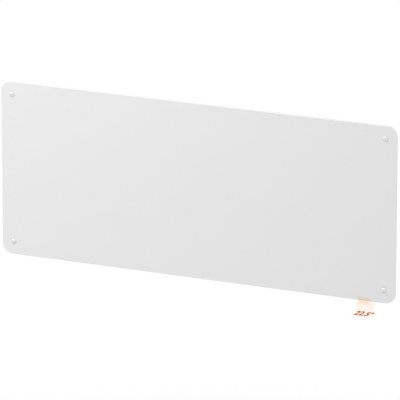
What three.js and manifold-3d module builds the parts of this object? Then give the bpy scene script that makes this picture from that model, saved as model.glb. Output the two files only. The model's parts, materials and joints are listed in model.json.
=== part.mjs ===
// A wall-mounted electric panel heater with a glass front.
// Millimetres, +Z up. The wall is the plane y = 0 and the heater's front faces -Y.
// Depths are counted from the wall towards the front, so y = -depth.
import * as THREE from 'three';
import { mergeVertices } from 'three/addons/utils/BufferGeometryUtils.js';
import Module from 'manifold-3d';

const wasm = await Module();
wasm.setup();

// Depth stack, from the wall to the front
const bracketDepth = 22;
const casingDepth = 44;
const airGap = 9;
const glassThickness = 5;

// Clearances shared by all pieces
const seatGap = 0.3;
const overrun = 2;

// Glass front
const glassWidth = 800;
const glassHeight = 340;
const glassCornerRadius = 20;
const glassArris = 0.8;
const glassHoleRadius = 4;

// Studs that hold the glass
const studInsetX = 23;
const studInsetZ = 25;
const studCapRadius = 5;
const studCapHeight = 1.9;
const studCapRound = 1.4;
const studShankRadius = 2.5;
const studShankReach = 5;
const standoffRadius = 6;
const standoffBoreDepth = 7;
const clinchRadius = 4;
const bushWall = 0.8;
const bushFlangeRadius = 5.6;
const bushFlange = 1;

// Pressed steel of the casing
const sheet = 1.2;
const beadWidth = 12;
const beadHeight = 2.4;

// Front chassis that carries the glass
const chassisInset = 12;
const chassisCornerRadius = 12;
const chassisFlange = 9;
const chassisBeadEndInset = 78;
const chassisBeadEdgeInset = 40;

// Casing behind the chassis, set in from the edge of the glass
const casingInsetX = 35;
const casingInsetZ = 25;
const mouldedWall = 2.2;
const endCapWidth = 18;
const endCapRound = 7;
const endCapRib = 1.6;
const endCapRibCount = 5;

// Rear panel
const rearBeadLegGap = 25;
const rearBeadZ = 40;
const rearBeadWidth = 16;

// Grilles in the top and the bottom
const grillePlate = 3;
const grilleRail = 5;
const grilleSkirt = 9.5;
const grilleSkirtWall = 1.5;
const widestBladePitch = 5.6;
const bladeThickness = 1.6;
const bladeHeight = 8.6;
const bladeSink = 0.5;
const ribPitch = 72;
const ribWall = 1.6;
const outletTilt = 24;
const inletTilt = 0;
const grilleEndRound = 2;

// Control fascia and service plate, beside the grilles
const fasciaWidth = 85;
const servicePlateWidth = 147;
const fasciaRound = 3;

// Push buttons
const buttonWidth = 15;
const buttonDepth = 9;
const buttonRound = 2.5;
const buttonCount = 3;
const buttonProud = 1.4;
const buttonStem = 3;
const buttonLip = 1.2;
const buttonLipWall = 1.2;
const buttonLipDrop = 0.4;
const buttonSideGap = 0.35;
const buttonTravel = 0.8;
const buttonDish = 0.5;
const dishRadius = 5.5;
const boardThickness = 1.6;
const switchBase = 6;
const switchHeight = 3;
const plungerRadius = 1.7;
const plungerHeight = 0.9;
const postRadius = 2;

// Wall bracket
const legInset = 125;
const legWidth = 30;
const legBottomInset = 20;
const bracketSheet = 1.5;
const hookInset = 40;
const hookReach = 6.5;
const hookRise = 7.5;
const hookArm = 9;
const hookPlay = 0.5;
const hookDip = 0.4;
const hookSlotHeight = 17;
const hookSlotSideGap = 2.5;
const legChin = 20;
const legShoulder = 9;
const screwSlotRadius = 3;
const screwSlotLength = 14;
const screwUpperDrop = 20;
const screwLowerRise = 67;
const crossbarHeight = 30;
const crossbarUpperDrop = 43;
const crossbarLap = 21;
const crossbarJoggle = 6;
const bendReach = 2.5;
const crossbarSlotX = 90;

// Spring catches at the foot of the bracket
const catchStrip = 0.8;
const catchWidth = 14;
const catchRise = 21;
const catchNoseHeight = 8;
const catchNoseReach = 7.5;
const catchRootRise = 26;
const catchTail = 7;
const catchTailLift = 1.5;
const catchSlotGap = 0.5;
const catchBend = 2.4;

// Buffers between the rear panel's foot and the wall
const bufferRadius = 7;
const bufferInset = 65;
const bufferRise = 33;
const bufferNeckRadius = 3.5;
const bufferHole = 3.8;
const bufferLip = 1.5;
const bufferRound = 2;

// Heating element
const elementLeftRoom = 52;
const elementRightRoom = 47;
const finFloorGap = 55;
const finShieldGap = 4.7;
const elementHubRadius = 8;
const rodRadius = 5;
const rodFit = 0.35;
const finHeightShare = 0.29;
const finReach = 10;
const finWall = 1.6;
const finPitch = 11;
const finRise = 1.6;
const combSlot = 3;
const combPitch = 110;
const rodOverhang = 8;
const rodNeckRadius = 4;
const rodNeck = 6;
const pinRadius = 1.2;
const pinLength = 7;
const pinSpacing = 4.6;

// Element hangers
const hangerHeight = 44;
const hangerFoot = 13;
const hangerBackReach = 9;
const hangerGap = 1;
const hangerHoleGap = 0.35;

// Heat shield behind the element
const shieldSheet = 0.8;
const shieldStandoff = 6;
const shieldDrop = 7;
const shieldHookGap = 21;
const shieldOverhang = 10;
const shieldFoot = 5;

// Thermal cut-out on the heat shield
const cutoutOffset = 145;
const cutoutDiscRadius = 8;
const cutoutDisc = 3;
const cutoutBodyRadius = 6.5;
const cutoutBody = 6;
const cutoutTabWidth = 4;
const cutoutTab = 0.8;
const cutoutTabLength = 7;
const cutoutTabOffset = 3.4;

// Control housing at the right-hand end
const housingWidth = 48;
const housingFloorGap = 50;
const housingCeilingGap = 36;
const housingEndGap = 7;
const housingFrontGap = 7;
const housingRound = 3;
const coverThickness = 2;
const coverLip = 3;
const boardFrontRoom = 8;
const standWidth = 7;
const relayWidth = 15;
const relayHeight = 19;
const relayDepth = 15;
const relayDrop = 42;
const supplyWidth = 27;
const supplyHeight = 33;
const supplyDepth = 16;
const supplyRise = 28;
const leadHoleRadius = 6;

// Leads from the element to the control board
const leadRadius = 1.3;
const leadSag = 3;
const leadSpread = 3;
const leadEntry = 6;
const leadSteps = 10;
const leadSides = 6;

// Power rocker in the right-hand end cap
const rockerFloorRise = 67;
const bezelHeight = 21;
const bezelWidth = 15;
const bezelThickness = 1.6;
const bezelRound = 1.2;
const switchBodyHeight = 19;
const switchBodyWidth = 12.6;
const switchBodyDepth = 15;
const cutoutGap = 0.3;
const rockerLength = 15.2;
const rockerWidth = 8.6;
const rockerRise = 3.2;
const rockerDishRise = 1.9;
const rockerHub = 4.5;
const rockerPivotSink = 1.2;
const rockerTilt = 11;
const rockerSideGap = 0.6;
const rockerEndGap = 1.1;
const rockerWellDepth = 8;
const tabWidth = 5;
const tabThickness = 0.8;
const tabLength = 6;
const tabPitch = 7;

// Projector module at the lower right
const projectorEndGap = 3.2;
const projectorForward = 2.5;
const projectorBarrelRadius = 8.6;
const projectorNeckRadius = 7;
const projectorWall = 1.4;
const projectorHeight = 31;
const projectorProud = 1.6;
const lensThickness = 2.6;
const lensBulge = 1.3;
const lensSeat = 1.2;
const displayHeight = 15;
const displayThickness = 1.4;
const displayLedge = 2;
const ledBoardSize = 18;
const ledRadius = 2.6;
const ledHeight = 2.4;
const ledDomeShares = [[0, 1], [0.6, 0.85], [0.9, 0.45], [1, 0]];
const moduleFit = 0.3;

// Room sensor under the service plate
const sensorForward = 6.5;
const sensorCageRadius = 5;
const sensorCageWall = 1.3;
const sensorCageDrop = 9;
const sensorFlangeRadius = 7.5;
const sensorFlange = 1.4;
const sensorWindow = 4;
const sensorWindowHeight = 5;
const sensorBeadRadius = 2.6;
const sensorStemRadius = 1.1;
const sensorStemTop = 6;
const sensorCollar = 2.5;

// Cable inlet and the terminal block above it
const glandTerminalGap = 4;
const glandHeadRadius = 11;
const glandHead = 4;
const glandCapRadius = 8.8;
const glandCap = 8;
const glandCapRound = 2.6;
const glandNeckRadius = 8;
const glandNeck = 10;
const glandBore = 4.2;
const glandNut = 4;
const terminalEndGap = 2.8;
const terminalWidth = 30;
const terminalDepthSize = 16;
const terminalHeight = 14;
const terminalStep = 4;
const terminalHole = 2;
const terminalPitch = 9;

// Fineness of the curved faces
const chordError = 0.2;
const bendSteps = 3;
const weld = 0.0001;

// Depths worked out from the stack
const rearPanelBack = bracketDepth + seatGap;
const rearPanelFront = rearPanelBack + sheet;
const chassisFront = rearPanelBack + casingDepth;
const chassisBack = chassisFront - sheet;
const casingFront = chassisBack - seatGap;
const glassBack = chassisFront + airGap;
const casingMiddle = (rearPanelBack + casingFront) / 2;
const shieldBack = rearPanelFront + shieldStandoff;
const shieldFront = shieldBack + shieldSheet;
const elementDepth = shieldFront + finShieldGap + finReach;
const housingBack = rearPanelFront + seatGap;
const housingFront = chassisBack - housingFrontGap;
const boardFront = housingFront - boardFrontRoom;
const projectorDepth = casingMiddle + projectorForward;
const sensorDepth = casingMiddle + sensorForward;

// Widths and heights worked out from the glass and the casing
const chassisWidth = glassWidth - 2 * chassisInset;
const chassisHeight = glassHeight - 2 * chassisInset;
const casingWidth = glassWidth - 2 * casingInsetX;
const casingHeight = glassHeight - 2 * casingInsetZ;
const casingTop = casingHeight / 2;
const casingSide = casingWidth / 2;
const innerSide = casingSide - endCapWidth;
const grilleEnd = innerSide - seatGap;
const plateInner = casingTop - grillePlate;
const studX = glassWidth / 2 - studInsetX;
const studZ = glassHeight / 2 - studInsetZ;
const housingRight = innerSide - housingEndGap;
const housingLeft = housingRight - housingWidth;
const housingBottomZ = housingFloorGap - plateInner;
const housingTopZ = plateInner - housingCeilingGap;

// Places worked out for the bracket and the pieces inside
const legOffset = casingSide - legInset;
const legBottomZ = legBottomInset - casingTop;
const hookZ = casingTop - hookInset;
const screwUpperZ = hookZ - screwUpperDrop;
const screwLowerZ = legBottomZ + screwLowerRise;
const crossbarUpperZ = hookZ - crossbarUpperDrop;
const catchZ = legBottomZ + catchRise;
const bufferX = casingSide - bufferInset;
const bufferZ = bufferRise - casingTop;
const elementLeft = elementLeftRoom - innerSide;
const elementRight = housingLeft - elementRightRoom;
const elementLength = elementRight - elementLeft;
const elementCentreX = (elementLeft + elementRight) / 2;
const finHeight = finHeightShare * casingHeight;
const finBottomZ = finFloorGap - plateInner;
const finTopZ = finBottomZ + finHeight;
const elementZ = finBottomZ + finHeight / 2;
const shieldBottomZ = finBottomZ - shieldDrop;
const shieldTopZ = hookZ - hookSlotHeight - shieldHookGap - shieldFoot;
const cutoutX = elementCentreX + cutoutOffset;
const cutoutZ = (finTopZ + shieldTopZ - shieldStandoff) / 2;
const rockerZ = rockerFloorRise - casingTop;
const fasciaInside = fasciaWidth - 2 * (grilleRail + grilleSkirtWall);
const buttonPitch = fasciaInside / buttonCount;
const serviceLeft = grilleEnd - servicePlateWidth + grilleRail + grilleSkirtWall;
const serviceRight = grilleEnd - grilleRail - grilleSkirtWall;
const terminalX = serviceLeft + terminalEndGap + terminalWidth / 2;
const glandX = terminalX + terminalWidth / 2 + glandTerminalGap + glandHeadRadius;
const projectorX = serviceRight - projectorEndGap - ledBoardSize / 2;
const sensorX = (glandX + glandHeadRadius + projectorX - ledBoardSize / 2) / 2;

const whiteGlass = { color: 0xe8e9ea, roughness: 0.12, metalness: 0 };
const whitePaint = { color: 0xe9e9e7, roughness: 0.5, metalness: 0 };
const whitePlastic = { color: 0xe4e4e1, roughness: 0.55, metalness: 0 };
const zincSteel = { color: 0xb9bcbf, roughness: 0.4, metalness: 0.9 };
const brightSteel = { color: 0xc9cbcd, roughness: 0.22, metalness: 1 };
const aluminium = { color: 0xc6c8ca, roughness: 0.38, metalness: 0.95 };
const darkPlastic = { color: 0x2c2d2f, roughness: 0.6, metalness: 0 };
const boardGreen = { color: 0x2f6a43, roughness: 0.5, metalness: 0 };
const clearPlastic = { color: 0xdfe6ea, roughness: 0.1, metalness: 0 };
const blackRubber = { color: 0x1d1e1f, roughness: 0.8, metalness: 0 };

const degrees = Math.PI / 180;
const quarterTurn = Math.PI / 2;

// Solids

function solidOf(geometry) {
  const bare = geometry.clone();
  bare.deleteAttribute('normal');
  bare.deleteAttribute('uv');
  const merged = mergeVertices(bare, weld);
  const corners = merged.index.array;
  const triangles = [];
  for (let i = 0; i < corners.length; i += 3) {
    const [a, b, c] = corners.slice(i, i + 3);
    if (a !== b && b !== c && c !== a) triangles.push(a, b, c);
  }
  const vertProperties = new Float32Array(merged.attributes.position.array);
  const triVerts = new Uint32Array(triangles);
  return new wasm.Manifold(new wasm.Mesh({ numProp: 3, vertProperties, triVerts }));
}

function joined(...geometries) {
  const [first, ...rest] = geometries;
  return joinedTo(solidOf(first), ...rest);
}

function joinedTo(solid, ...geometries) {
  return geometries.reduce((whole, next) => whole.add(solidOf(next)), solid);
}

function cutFrom(solid, ...geometries) {
  return geometries.reduce((left, tool) => left.subtract(solidOf(tool)), solid);
}

function geometryOf(solid) {
  const { vertProperties, triVerts } = solid.getMesh();
  const geometry = new THREE.BufferGeometry();
  geometry.setAttribute('position', new THREE.BufferAttribute(vertProperties, 3));
  geometry.setIndex(new THREE.BufferAttribute(triVerts, 1));
  geometry.computeVertexNormals();
  return geometry;
}

function piece(name, finish, solid, x = 0, depth = 0, z = 0) {
  const mesh = new THREE.Mesh(geometryOf(solid), new THREE.MeshStandardMaterial(finish));
  mesh.name = name;
  mesh.position.set(x, -depth, z);
  return mesh;
}

// Forms

function block(xs, depths, zs) {
  const [x0, x1] = [Math.min(...xs), Math.max(...xs)];
  const [near, far] = [Math.min(...depths), Math.max(...depths)];
  const [z0, z1] = [Math.min(...zs), Math.max(...zs)];
  const geometry = new THREE.BoxGeometry(x1 - x0, far - near, z1 - z0);
  geometry.translate((x0 + x1) / 2, -(near + far) / 2, (z0 + z1) / 2);
  return geometry;
}

function extruded(shape, depth) {
  return new THREE.ExtrudeGeometry(shape, { depth, bevelEnabled: false, curveSegments: bendSteps });
}

// How many straight steps a quarter turn of this radius takes to stay within the chord error.
function quarterSteps(radius) {
  const widestStep = 2 * Math.acos(1 - Math.min(chordError / radius, 1 / 2));
  return Math.max(2, Math.ceil(quarterTurn / widestStep));
}

// An outline in x and z, as a plate from one depth to a greater one.
function plate(shape, nearDepth, farDepth) {
  const geometry = extruded(shape, farDepth - nearDepth);
  geometry.rotateX(quarterTurn);
  geometry.translate(0, -nearDepth, 0);
  return geometry;
}

// A section in depth and z, drawn out along x about a centre.
function alongX(shape, length, centreX = 0) {
  const geometry = extruded(shape, length);
  geometry.applyMatrix4(new THREE.Matrix4().makeBasis(
    new THREE.Vector3(0, -1, 0),
    new THREE.Vector3(0, 0, 1),
    new THREE.Vector3(-1, 0, 0),
  ));
  geometry.translate(centreX + length / 2, 0, 0);
  return geometry;
}

// An outline in x and y, drawn up from one height to another.
function alongZ(shape, lowZ, highZ) {
  const geometry = extruded(shape, highZ - lowZ);
  geometry.translate(0, 0, lowZ);
  return geometry;
}

// The turned profile of a plain round bar between two heights.
function cylinder(radius, low, high) {
  return [[0, low], [radius, low], [radius, high], [0, high]];
}

// A profile of [radius, height] pairs turned about z, from the axis back to the axis.
function turnedUp(profile) {
  const points = profile.map(([radius, height]) => new THREE.Vector2(radius, height));
  const widest = Math.max(...profile.map(([radius]) => radius));
  const geometry = new THREE.LatheGeometry(points, 4 * quarterSteps(widest));
  geometry.rotateX(quarterTurn);
  return geometry;
}

// A profile of [radius, depth] pairs turned about the front-to-back axis.
function turnedForward(profile) {
  const geometry = turnedUp(profile);
  geometry.rotateX(quarterTurn);
  return geometry;
}

// A profile of [radius, x] pairs turned about x.
function turnedSideways(profile) {
  const geometry = turnedUp(profile);
  geometry.rotateY(quarterTurn);
  return geometry;
}

function roundedRectangle(width, height, radius, centreX = 0, centreY = 0) {
  const steps = quarterSteps(radius);
  const corners = [[1, -1], [1, 1], [-1, 1], [-1, -1]];
  const points = corners.flatMap(([sideX, sideY], corner) => Array.from({ length: steps + 1 }, (_, i) => {
    const angle = (corner - 1 + i / steps) * quarterTurn;
    return new THREE.Vector2(
      centreX + sideX * (width / 2 - radius) + radius * Math.cos(angle),
      centreY + sideY * (height / 2 - radius) + radius * Math.sin(angle),
    );
  }));
  return new THREE.Shape(points);
}

function disc(radius) {
  return roundedRectangle(2 * radius, 2 * radius, radius);
}

function rectangle(width, height, centreX = 0, centreY = 0) {
  const corners = [[-1, -1], [1, -1], [1, 1], [-1, 1]];
  return new THREE.Shape(corners.map(([x, y]) => new THREE.Vector2(
    centreX + x * width / 2,
    centreY + y * height / 2,
  )));
}

function stadium(length, width, centreX = 0, centreY = 0) {
  return roundedRectangle(length, width, Math.min(length, width) / 2, centreX, centreY);
}

// Corners [x, y, reach] joined by straight runs, each rounded off over its reach.
function softPath(path, corners, closed) {
  const at = (i) => new THREE.Vector2(...corners[(i + corners.length) % corners.length]);
  corners.forEach(([x, y, reach = 0], i) => {
    const isEnd = !closed && (i === 0 || i === corners.length - 1);
    const here = at(i);
    if (isEnd || reach === 0) {
      if (i === 0) path.moveTo(x, y);
      else path.lineTo(x, y);
      return;
    }
    const from = at(i - 1).sub(here).setLength(reach).add(here);
    const to = at(i + 1).sub(here).setLength(reach).add(here);
    if (i === 0) path.moveTo(from.x, from.y);
    else path.lineTo(from.x, from.y);
    path.quadraticCurveTo(x, y, to.x, to.y);
  });
  if (closed) path.closePath();
  return path;
}

function softOutline(corners) {
  return softPath(new THREE.Shape(), corners, true);
}

// The section of a sheet of one thickness that follows a line of corners.
function sheetSection(corners, thickness) {
  const line = softPath(new THREE.Path(), corners, false).getPoints(bendSteps);
  const sides = [[], []];
  line.forEach((point, i) => {
    const before = line[Math.max(i - 1, 0)];
    const after = line[Math.min(i + 1, line.length - 1)];
    const arriving = (i === 0 ? after.clone().sub(point) : point.clone().sub(before)).normalize();
    const leaving = (i === line.length - 1 ? arriving : after.clone().sub(point)).clone().normalize();
    const normal = new THREE.Vector2(-arriving.y - leaving.y, arriving.x + leaving.x);
    normal.multiplyScalar(thickness / 2 / (1 + arriving.dot(leaving)));
    sides[0].push(point.clone().add(normal));
    sides[1].push(point.clone().sub(normal));
  });
  return new THREE.Shape([...sides[0], ...sides[1].reverse()]);
}

// A long dent pressed into a sheet: the metal that stands out, and the hollow behind it.
function bead(length, width, z, dentDepth, sheetFar) {
  const direction = Math.sign(sheetFar - dentDepth);
  const outer = stadium(length, width, 0, z);
  const inner = stadium(length - 2 * sheet, width - 2 * sheet, 0, z);
  const crest = sheetFar + direction * beadHeight;
  const [near, far] = [Math.min(dentDepth, crest), Math.max(dentDepth, crest)];
  const mouth = dentDepth - direction * overrun;
  const floor = dentDepth + direction * beadHeight;
  return {
    metal: plate(outer, near, far),
    hollow: plate(inner, Math.min(mouth, floor), Math.max(mouth, floor)),
  };
}

// What stands at each of the four studs, or goes through there.
function atEachStud(build) {
  return [-1, 1].flatMap((sideX) => [-1, 1].map((sideZ) => {
    const corner = `${sideZ > 0 ? 'upper' : 'lower'}_${sideX > 0 ? 'right' : 'left'}`;
    return build(corner, sideX * studX, sideZ * studZ);
  }));
}

function studHoles(radius, near, far) {
  return atEachStud((corner, x, z) => turnedForward(cylinder(radius, near, far)).translate(x, 0, z));
}

// Wall bracket

function bracketLeg(name, side) {
  const throat = rearPanelFront + hookPlay;
  const tip = throat + hookReach;
  const seat = hookZ - hookDip;
  const sideOutline = softOutline([
    [0, legBottomZ],
    [bracketDepth - legChin / 2, legBottomZ, bendReach],
    [bracketDepth, legBottomZ + legChin, bendReach],
    [bracketDepth, seat - hookArm - bendReach, bendReach / 2],
    [tip, seat - hookArm, bendReach],
    [tip, seat + hookRise - bendReach, bendReach / 2],
    [tip - hookReach / 2, seat + hookRise, bendReach / 2],
    [throat, seat + hookRise - bendReach],
    [throat, seat],
    [bracketDepth - bracketSheet, seat],
    [0, seat - legShoulder],
  ]);
  const flangeX = (legWidth - bracketSheet) / 2;
  const web = block(
    [-legWidth / 2, legWidth / 2],
    [0, bracketSheet],
    [legBottomZ, seat - legShoulder],
  );
  const flanges = [-flangeX, flangeX].map((x) => alongX(sideOutline, bracketSheet, x));
  const leg = joined(web, ...flanges);
  const screwSlots = [screwUpperZ, screwLowerZ].map((z) => plate(
    stadium(2 * screwSlotRadius, screwSlotLength, 0, z),
    -overrun,
    bracketSheet + overrun,
  ));
  const barWindows = [crossbarUpperZ, 0].map((z) => block(
    [-side * (legWidth / 2 + overrun), -side * (legWidth / 2 - bracketSheet)],
    [bracketSheet, 2 * (bracketSheet + seatGap)],
    [z - crossbarHeight / 2 - seatGap, z + crossbarHeight / 2 + seatGap],
  ));
  return piece(name, zincSteel, cutFrom(leg, ...screwSlots, ...barWindows), side * legOffset);
}

// A flat bar on the wall whose ends step up on to the webs of the legs.
function bracketCrossbar(name, z) {
  const wallLine = bracketSheet / 2;
  const lapLine = wallLine + bracketSheet + seatGap;
  const innerEdge = legOffset - legWidth / 2;
  const end = innerEdge + crossbarLap;
  const stepFoot = innerEdge - seatGap - crossbarJoggle;
  const section = sheetSection([
    [-end, -lapLine],
    [-innerEdge, -lapLine, bendReach / 2],
    [-stepFoot, -wallLine, bendReach / 2],
    [stepFoot, -wallLine, bendReach / 2],
    [innerEdge, -lapLine, bendReach / 2],
    [end, -lapLine],
  ], bracketSheet);
  const bar = joined(alongZ(section, -crossbarHeight / 2, crossbarHeight / 2));
  const slots = [-crossbarSlotX, crossbarSlotX].map((x) => plate(
    stadium(screwSlotLength, 2 * screwSlotRadius, x, 0),
    -overrun,
    bracketSheet + overrun,
  ));
  return piece(name, zincSteel, cutFrom(bar, ...slots), 0, 0, z);
}

// A strip of spring steel bent into a blunt nose that holds the heater's foot.
function bracketCatch(name, side) {
  const rootDepth = bracketSheet + seatGap + catchStrip / 2;
  const noseTip = rearPanelFront + catchNoseReach;
  const upperZ = catchZ;
  const lowerZ = catchZ - catchNoseHeight + catchStrip;
  const section = sheetSection([
    [rootDepth, upperZ + catchRootRise],
    [rootDepth, upperZ, catchBend],
    [noseTip, upperZ, catchBend],
    [noseTip, lowerZ, catchBend],
    [rearPanelBack - catchTail, lowerZ, catchBend],
    [rearPanelBack - 2 * catchTail, lowerZ + catchTailLift],
  ], catchStrip);
  return piece(name, brightSteel, joined(alongX(section, catchWidth)), side * legOffset);
}

// Glass front and its studs

function glassPanel() {
  const outline = roundedRectangle(
    glassWidth - 2 * glassArris,
    glassHeight - 2 * glassArris,
    glassCornerRadius - glassArris,
  );
  const slab = new THREE.ExtrudeGeometry(outline, {
    depth: glassThickness - 2 * glassArris,
    bevelThickness: glassArris,
    bevelSize: glassArris,
    bevelSegments: 1,
  });
  slab.rotateX(quarterTurn);
  slab.translate(0, -glassArris, 0);
  const solid = cutFrom(joined(slab), ...studHoles(glassHoleRadius, -overrun, glassThickness + overrun));
  return piece('glass_panel', whiteGlass, solid, 0, glassBack);
}

// Profiles below start at the back of the glass.
function studCap(name, x, z) {
  const headBack = glassThickness + seatGap;
  const headFront = headBack + studCapHeight;
  const shankBack = -bushFlange - studShankReach;
  const round = [0, 1, 2, 3].map((step) => {
    const angle = step * 30 * degrees;
    const radius = studCapRadius - studCapRound + studCapRound * Math.cos(angle);
    return [radius, headFront - studCapRound + studCapRound * Math.sin(angle)];
  });
  const solid = joined(turnedForward([
    [0, shankBack],
    [studShankRadius, shankBack],
    [studShankRadius, headBack],
    [studCapRadius, headBack],
    ...round,
    [0, headFront],
  ]));
  return piece(name, brightSteel, solid, x, glassBack, z);
}

function studBush(name, x, z) {
  const bore = studShankRadius + seatGap;
  const sleeve = bore + bushWall;
  const solid = joined(turnedForward([
    [bore, -bushFlange],
    [bushFlangeRadius, -bushFlange],
    [bushFlangeRadius, -seatGap],
    [sleeve, -seatGap],
    [sleeve, glassThickness - seatGap],
    [bore, glassThickness - seatGap],
    [bore, -bushFlange],
  ]));
  return piece(name, clearPlastic, solid, x, glassBack, z);
}

function standoff(name, x, z) {
  const front = -bushFlange - seatGap;
  const shoulder = -airGap + seatGap;
  const back = -airGap - sheet;
  const bore = studShankRadius + seatGap;
  const solid = joined(turnedForward([
    [0, back],
    [clinchRadius, back],
    [clinchRadius, shoulder],
    [standoffRadius, shoulder],
    [standoffRadius, front],
    [bore, front],
    [bore, front - standoffBoreDepth],
    [0, front - standoffBoreDepth],
  ]));
  return piece(name, zincSteel, solid, x, glassBack, z);
}

// Casing

function frontChassis() {
  const outer = roundedRectangle(chassisWidth, chassisHeight, chassisCornerRadius);
  const inner = roundedRectangle(
    chassisWidth - 2 * sheet,
    chassisHeight - 2 * sheet,
    chassisCornerRadius - sheet,
  );
  const beads = [-1, 1].map((side) => bead(
    chassisWidth - 2 * chassisBeadEndInset,
    beadWidth,
    side * (chassisHeight / 2 - chassisBeadEdgeInset),
    chassisFront,
    chassisBack,
  ));
  const tray = cutFrom(
    joined(plate(outer, chassisFront - chassisFlange, chassisFront)),
    plate(inner, chassisFront - chassisFlange - overrun, chassisBack),
  );
  const pressed = joinedTo(tray, ...beads.map(({ metal }) => metal));
  const holes = studHoles(clinchRadius + seatGap, chassisBack - overrun, chassisFront + overrun);
  const solid = cutFrom(pressed, ...beads.map(({ hollow }) => hollow), ...holes);
  return piece('front_chassis', whitePaint, solid);
}

function rearPanel() {
  const halfWidth = casingSide - mouldedWall - seatGap;
  const halfHeight = plateInner - seatGap;
  const outline = roundedRectangle(2 * halfWidth, 2 * halfHeight, sheet);
  const beadLength = 2 * (legOffset - legWidth / 2 - rearBeadLegGap);
  const beads = [rearBeadZ, -rearBeadZ].map((z) => (
    bead(beadLength, rearBeadWidth, z, rearPanelBack, rearPanelFront)
  ));
  const pressed = joined(plate(outline, rearPanelBack, rearPanelFront), ...beads.map(({ metal }) => metal));
  const through = [rearPanelBack - overrun, rearPanelFront + overrun];
  const slots = [-1, 1].flatMap((side) => {
    const hookHalf = legWidth / 2 + hookSlotSideGap;
    const catchHalf = catchWidth / 2 + catchSlotGap;
    const x = side * legOffset;
    const buffer = turnedForward(cylinder(bufferHole, ...through));
    buffer.translate(side * bufferX, 0, bufferZ);
    return [
      block([x - hookHalf, x + hookHalf], through, [hookZ - hookSlotHeight, hookZ]),
      block(
        [x - catchHalf, x + catchHalf],
        through,
        [catchZ - catchNoseHeight - catchSlotGap, catchZ + catchStrip + catchSlotGap],
      ),
      buffer,
    ];
  });
  const solid = cutFrom(pressed, ...beads.map(({ hollow }) => hollow), ...slots);
  return piece('rear_panel', whitePaint, solid);
}

function wallBuffer(name, side) {
  const neckFar = rearPanelFront + seatGap;
  const solid = joined(turnedForward([
    [0, seatGap],
    [bufferRadius - bufferRound, seatGap],
    [bufferRadius, seatGap + bufferRound],
    [bufferRadius, rearPanelBack - seatGap],
    [bufferNeckRadius, rearPanelBack - seatGap],
    [bufferNeckRadius, neckFar],
    [bufferNeckRadius + bufferLip, neckFar],
    [bufferNeckRadius, neckFar + 2 * bufferLip],
    [0, neckFar + 2 * bufferLip],
  ]));
  return piece(name, blackRubber, solid, side * bufferX, 0, bufferZ);
}

// A moulded cover that closes one end of the casing and holds the rear panel's edge.
function endCapSolid(side) {
  const inner = side * innerSide;
  const outer = side * casingSide;
  const wallInside = side * (casingSide - mouldedWall);
  const plan = softOutline([
    [inner, -rearPanelBack],
    [outer, -rearPanelBack, endCapRound],
    [outer, -casingFront, endCapRound / 2],
    [inner, -casingFront],
  ]);
  const opening = [side * (innerSide - overrun), wallInside];
  const flangeFar = rearPanelFront + seatGap + mouldedWall;
  const shell = cutFrom(
    joined(alongZ(plan, -casingTop, casingTop)),
    block(
      opening,
      [flangeFar, casingFront - mouldedWall],
      [-casingTop + mouldedWall, casingTop - mouldedWall],
    ),
    block(opening, [0, rearPanelFront + seatGap], [-plateInner, plateInner]),
  );
  const ribPitchZ = (casingHeight - 2 * mouldedWall) / (endCapRibCount + 1);
  const ribs = Array.from({ length: endCapRibCount }, (_, i) => {
    const z = -casingTop + mouldedWall + (i + 1) * ribPitchZ;
    const ribInside = side * (casingSide - 2 * mouldedWall - endCapRib);
    return block(
      [ribInside, side * (casingSide - mouldedWall / 2)],
      [flangeFar - endCapRib / 2, casingFront - mouldedWall / 2],
      [z - endCapRib / 2, z + endCapRib / 2],
    );
  });
  return joinedTo(shell, ...ribs);
}

function endCapLeft() {
  return piece('end_cap_left', whitePlastic, endCapSolid(-1));
}

function endCapRight() {
  const halfHeight = switchBodyHeight / 2 + cutoutGap;
  const halfWidth = switchBodyWidth / 2 + cutoutGap;
  const room = block(
    [innerSide - overrun, casingSide + overrun],
    [casingMiddle - halfWidth, casingMiddle + halfWidth],
    [rockerZ - halfHeight, rockerZ + halfHeight],
  );
  return piece('end_cap_right', whitePlastic, cutFrom(endCapSolid(1), room));
}

// A framed grille of long tilted blades on cross ribs, its face at z = 0 and its back below.
function louvreSolid(length, tilt) {
  const depth = casingFront - rearPanelBack;
  const openingDepth = depth - 2 * grilleRail;
  const openingLength = length - 2 * grilleRail;
  const frame = rectangle(length, depth, 0, -casingMiddle);
  const opening = roundedRectangle(openingLength, openingDepth, grilleEndRound, 0, -casingMiddle);
  const skirt = roundedRectangle(
    openingLength + 2 * grilleSkirtWall,
    openingDepth + 2 * grilleSkirtWall,
    grilleEndRound + grilleSkirtWall,
    0,
    -casingMiddle,
  );
  const surround = cutFrom(
    joined(alongZ(frame, -grillePlate, 0), alongZ(skirt, -grilleSkirt, -grillePlate / 2)),
    alongZ(opening, -grilleSkirt - overrun, overrun),
  );
  const bladeCount = Math.ceil(openingDepth / widestBladePitch) - 1;
  const blades = Array.from({ length: bladeCount }, (_, i) => {
    const blade = alongX(stadium(bladeThickness, bladeHeight), openingLength + grilleSkirtWall);
    blade.rotateX(tilt * degrees);
    const bladeDepth = casingMiddle - openingDepth / 2 + (i + 1) * openingDepth / (bladeCount + 1);
    blade.translate(0, -bladeDepth, -bladeSink - bladeHeight / 2);
    return blade;
  });
  const ribCount = Math.max(1, Math.round(openingLength / ribPitch) - 1);
  const ribReach = (openingDepth + grilleSkirtWall) / 2;
  const ribs = Array.from({ length: ribCount }, (_, i) => {
    const x = -openingLength / 2 + (i + 1) * openingLength / (ribCount + 1);
    return block(
      [x - ribWall / 2, x + ribWall / 2],
      [casingMiddle - ribReach, casingMiddle + ribReach],
      [-bladeHeight, -bladeHeight / 2],
    );
  });
  return joinedTo(surround, ...blades, ...ribs);
}

function topGrille() {
  const right = grilleEnd - fasciaWidth - seatGap;
  const solid = louvreSolid(right + grilleEnd, outletTilt);
  return piece('top_grille', whitePaint, solid, (right - grilleEnd) / 2, 0, casingTop);
}

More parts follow.
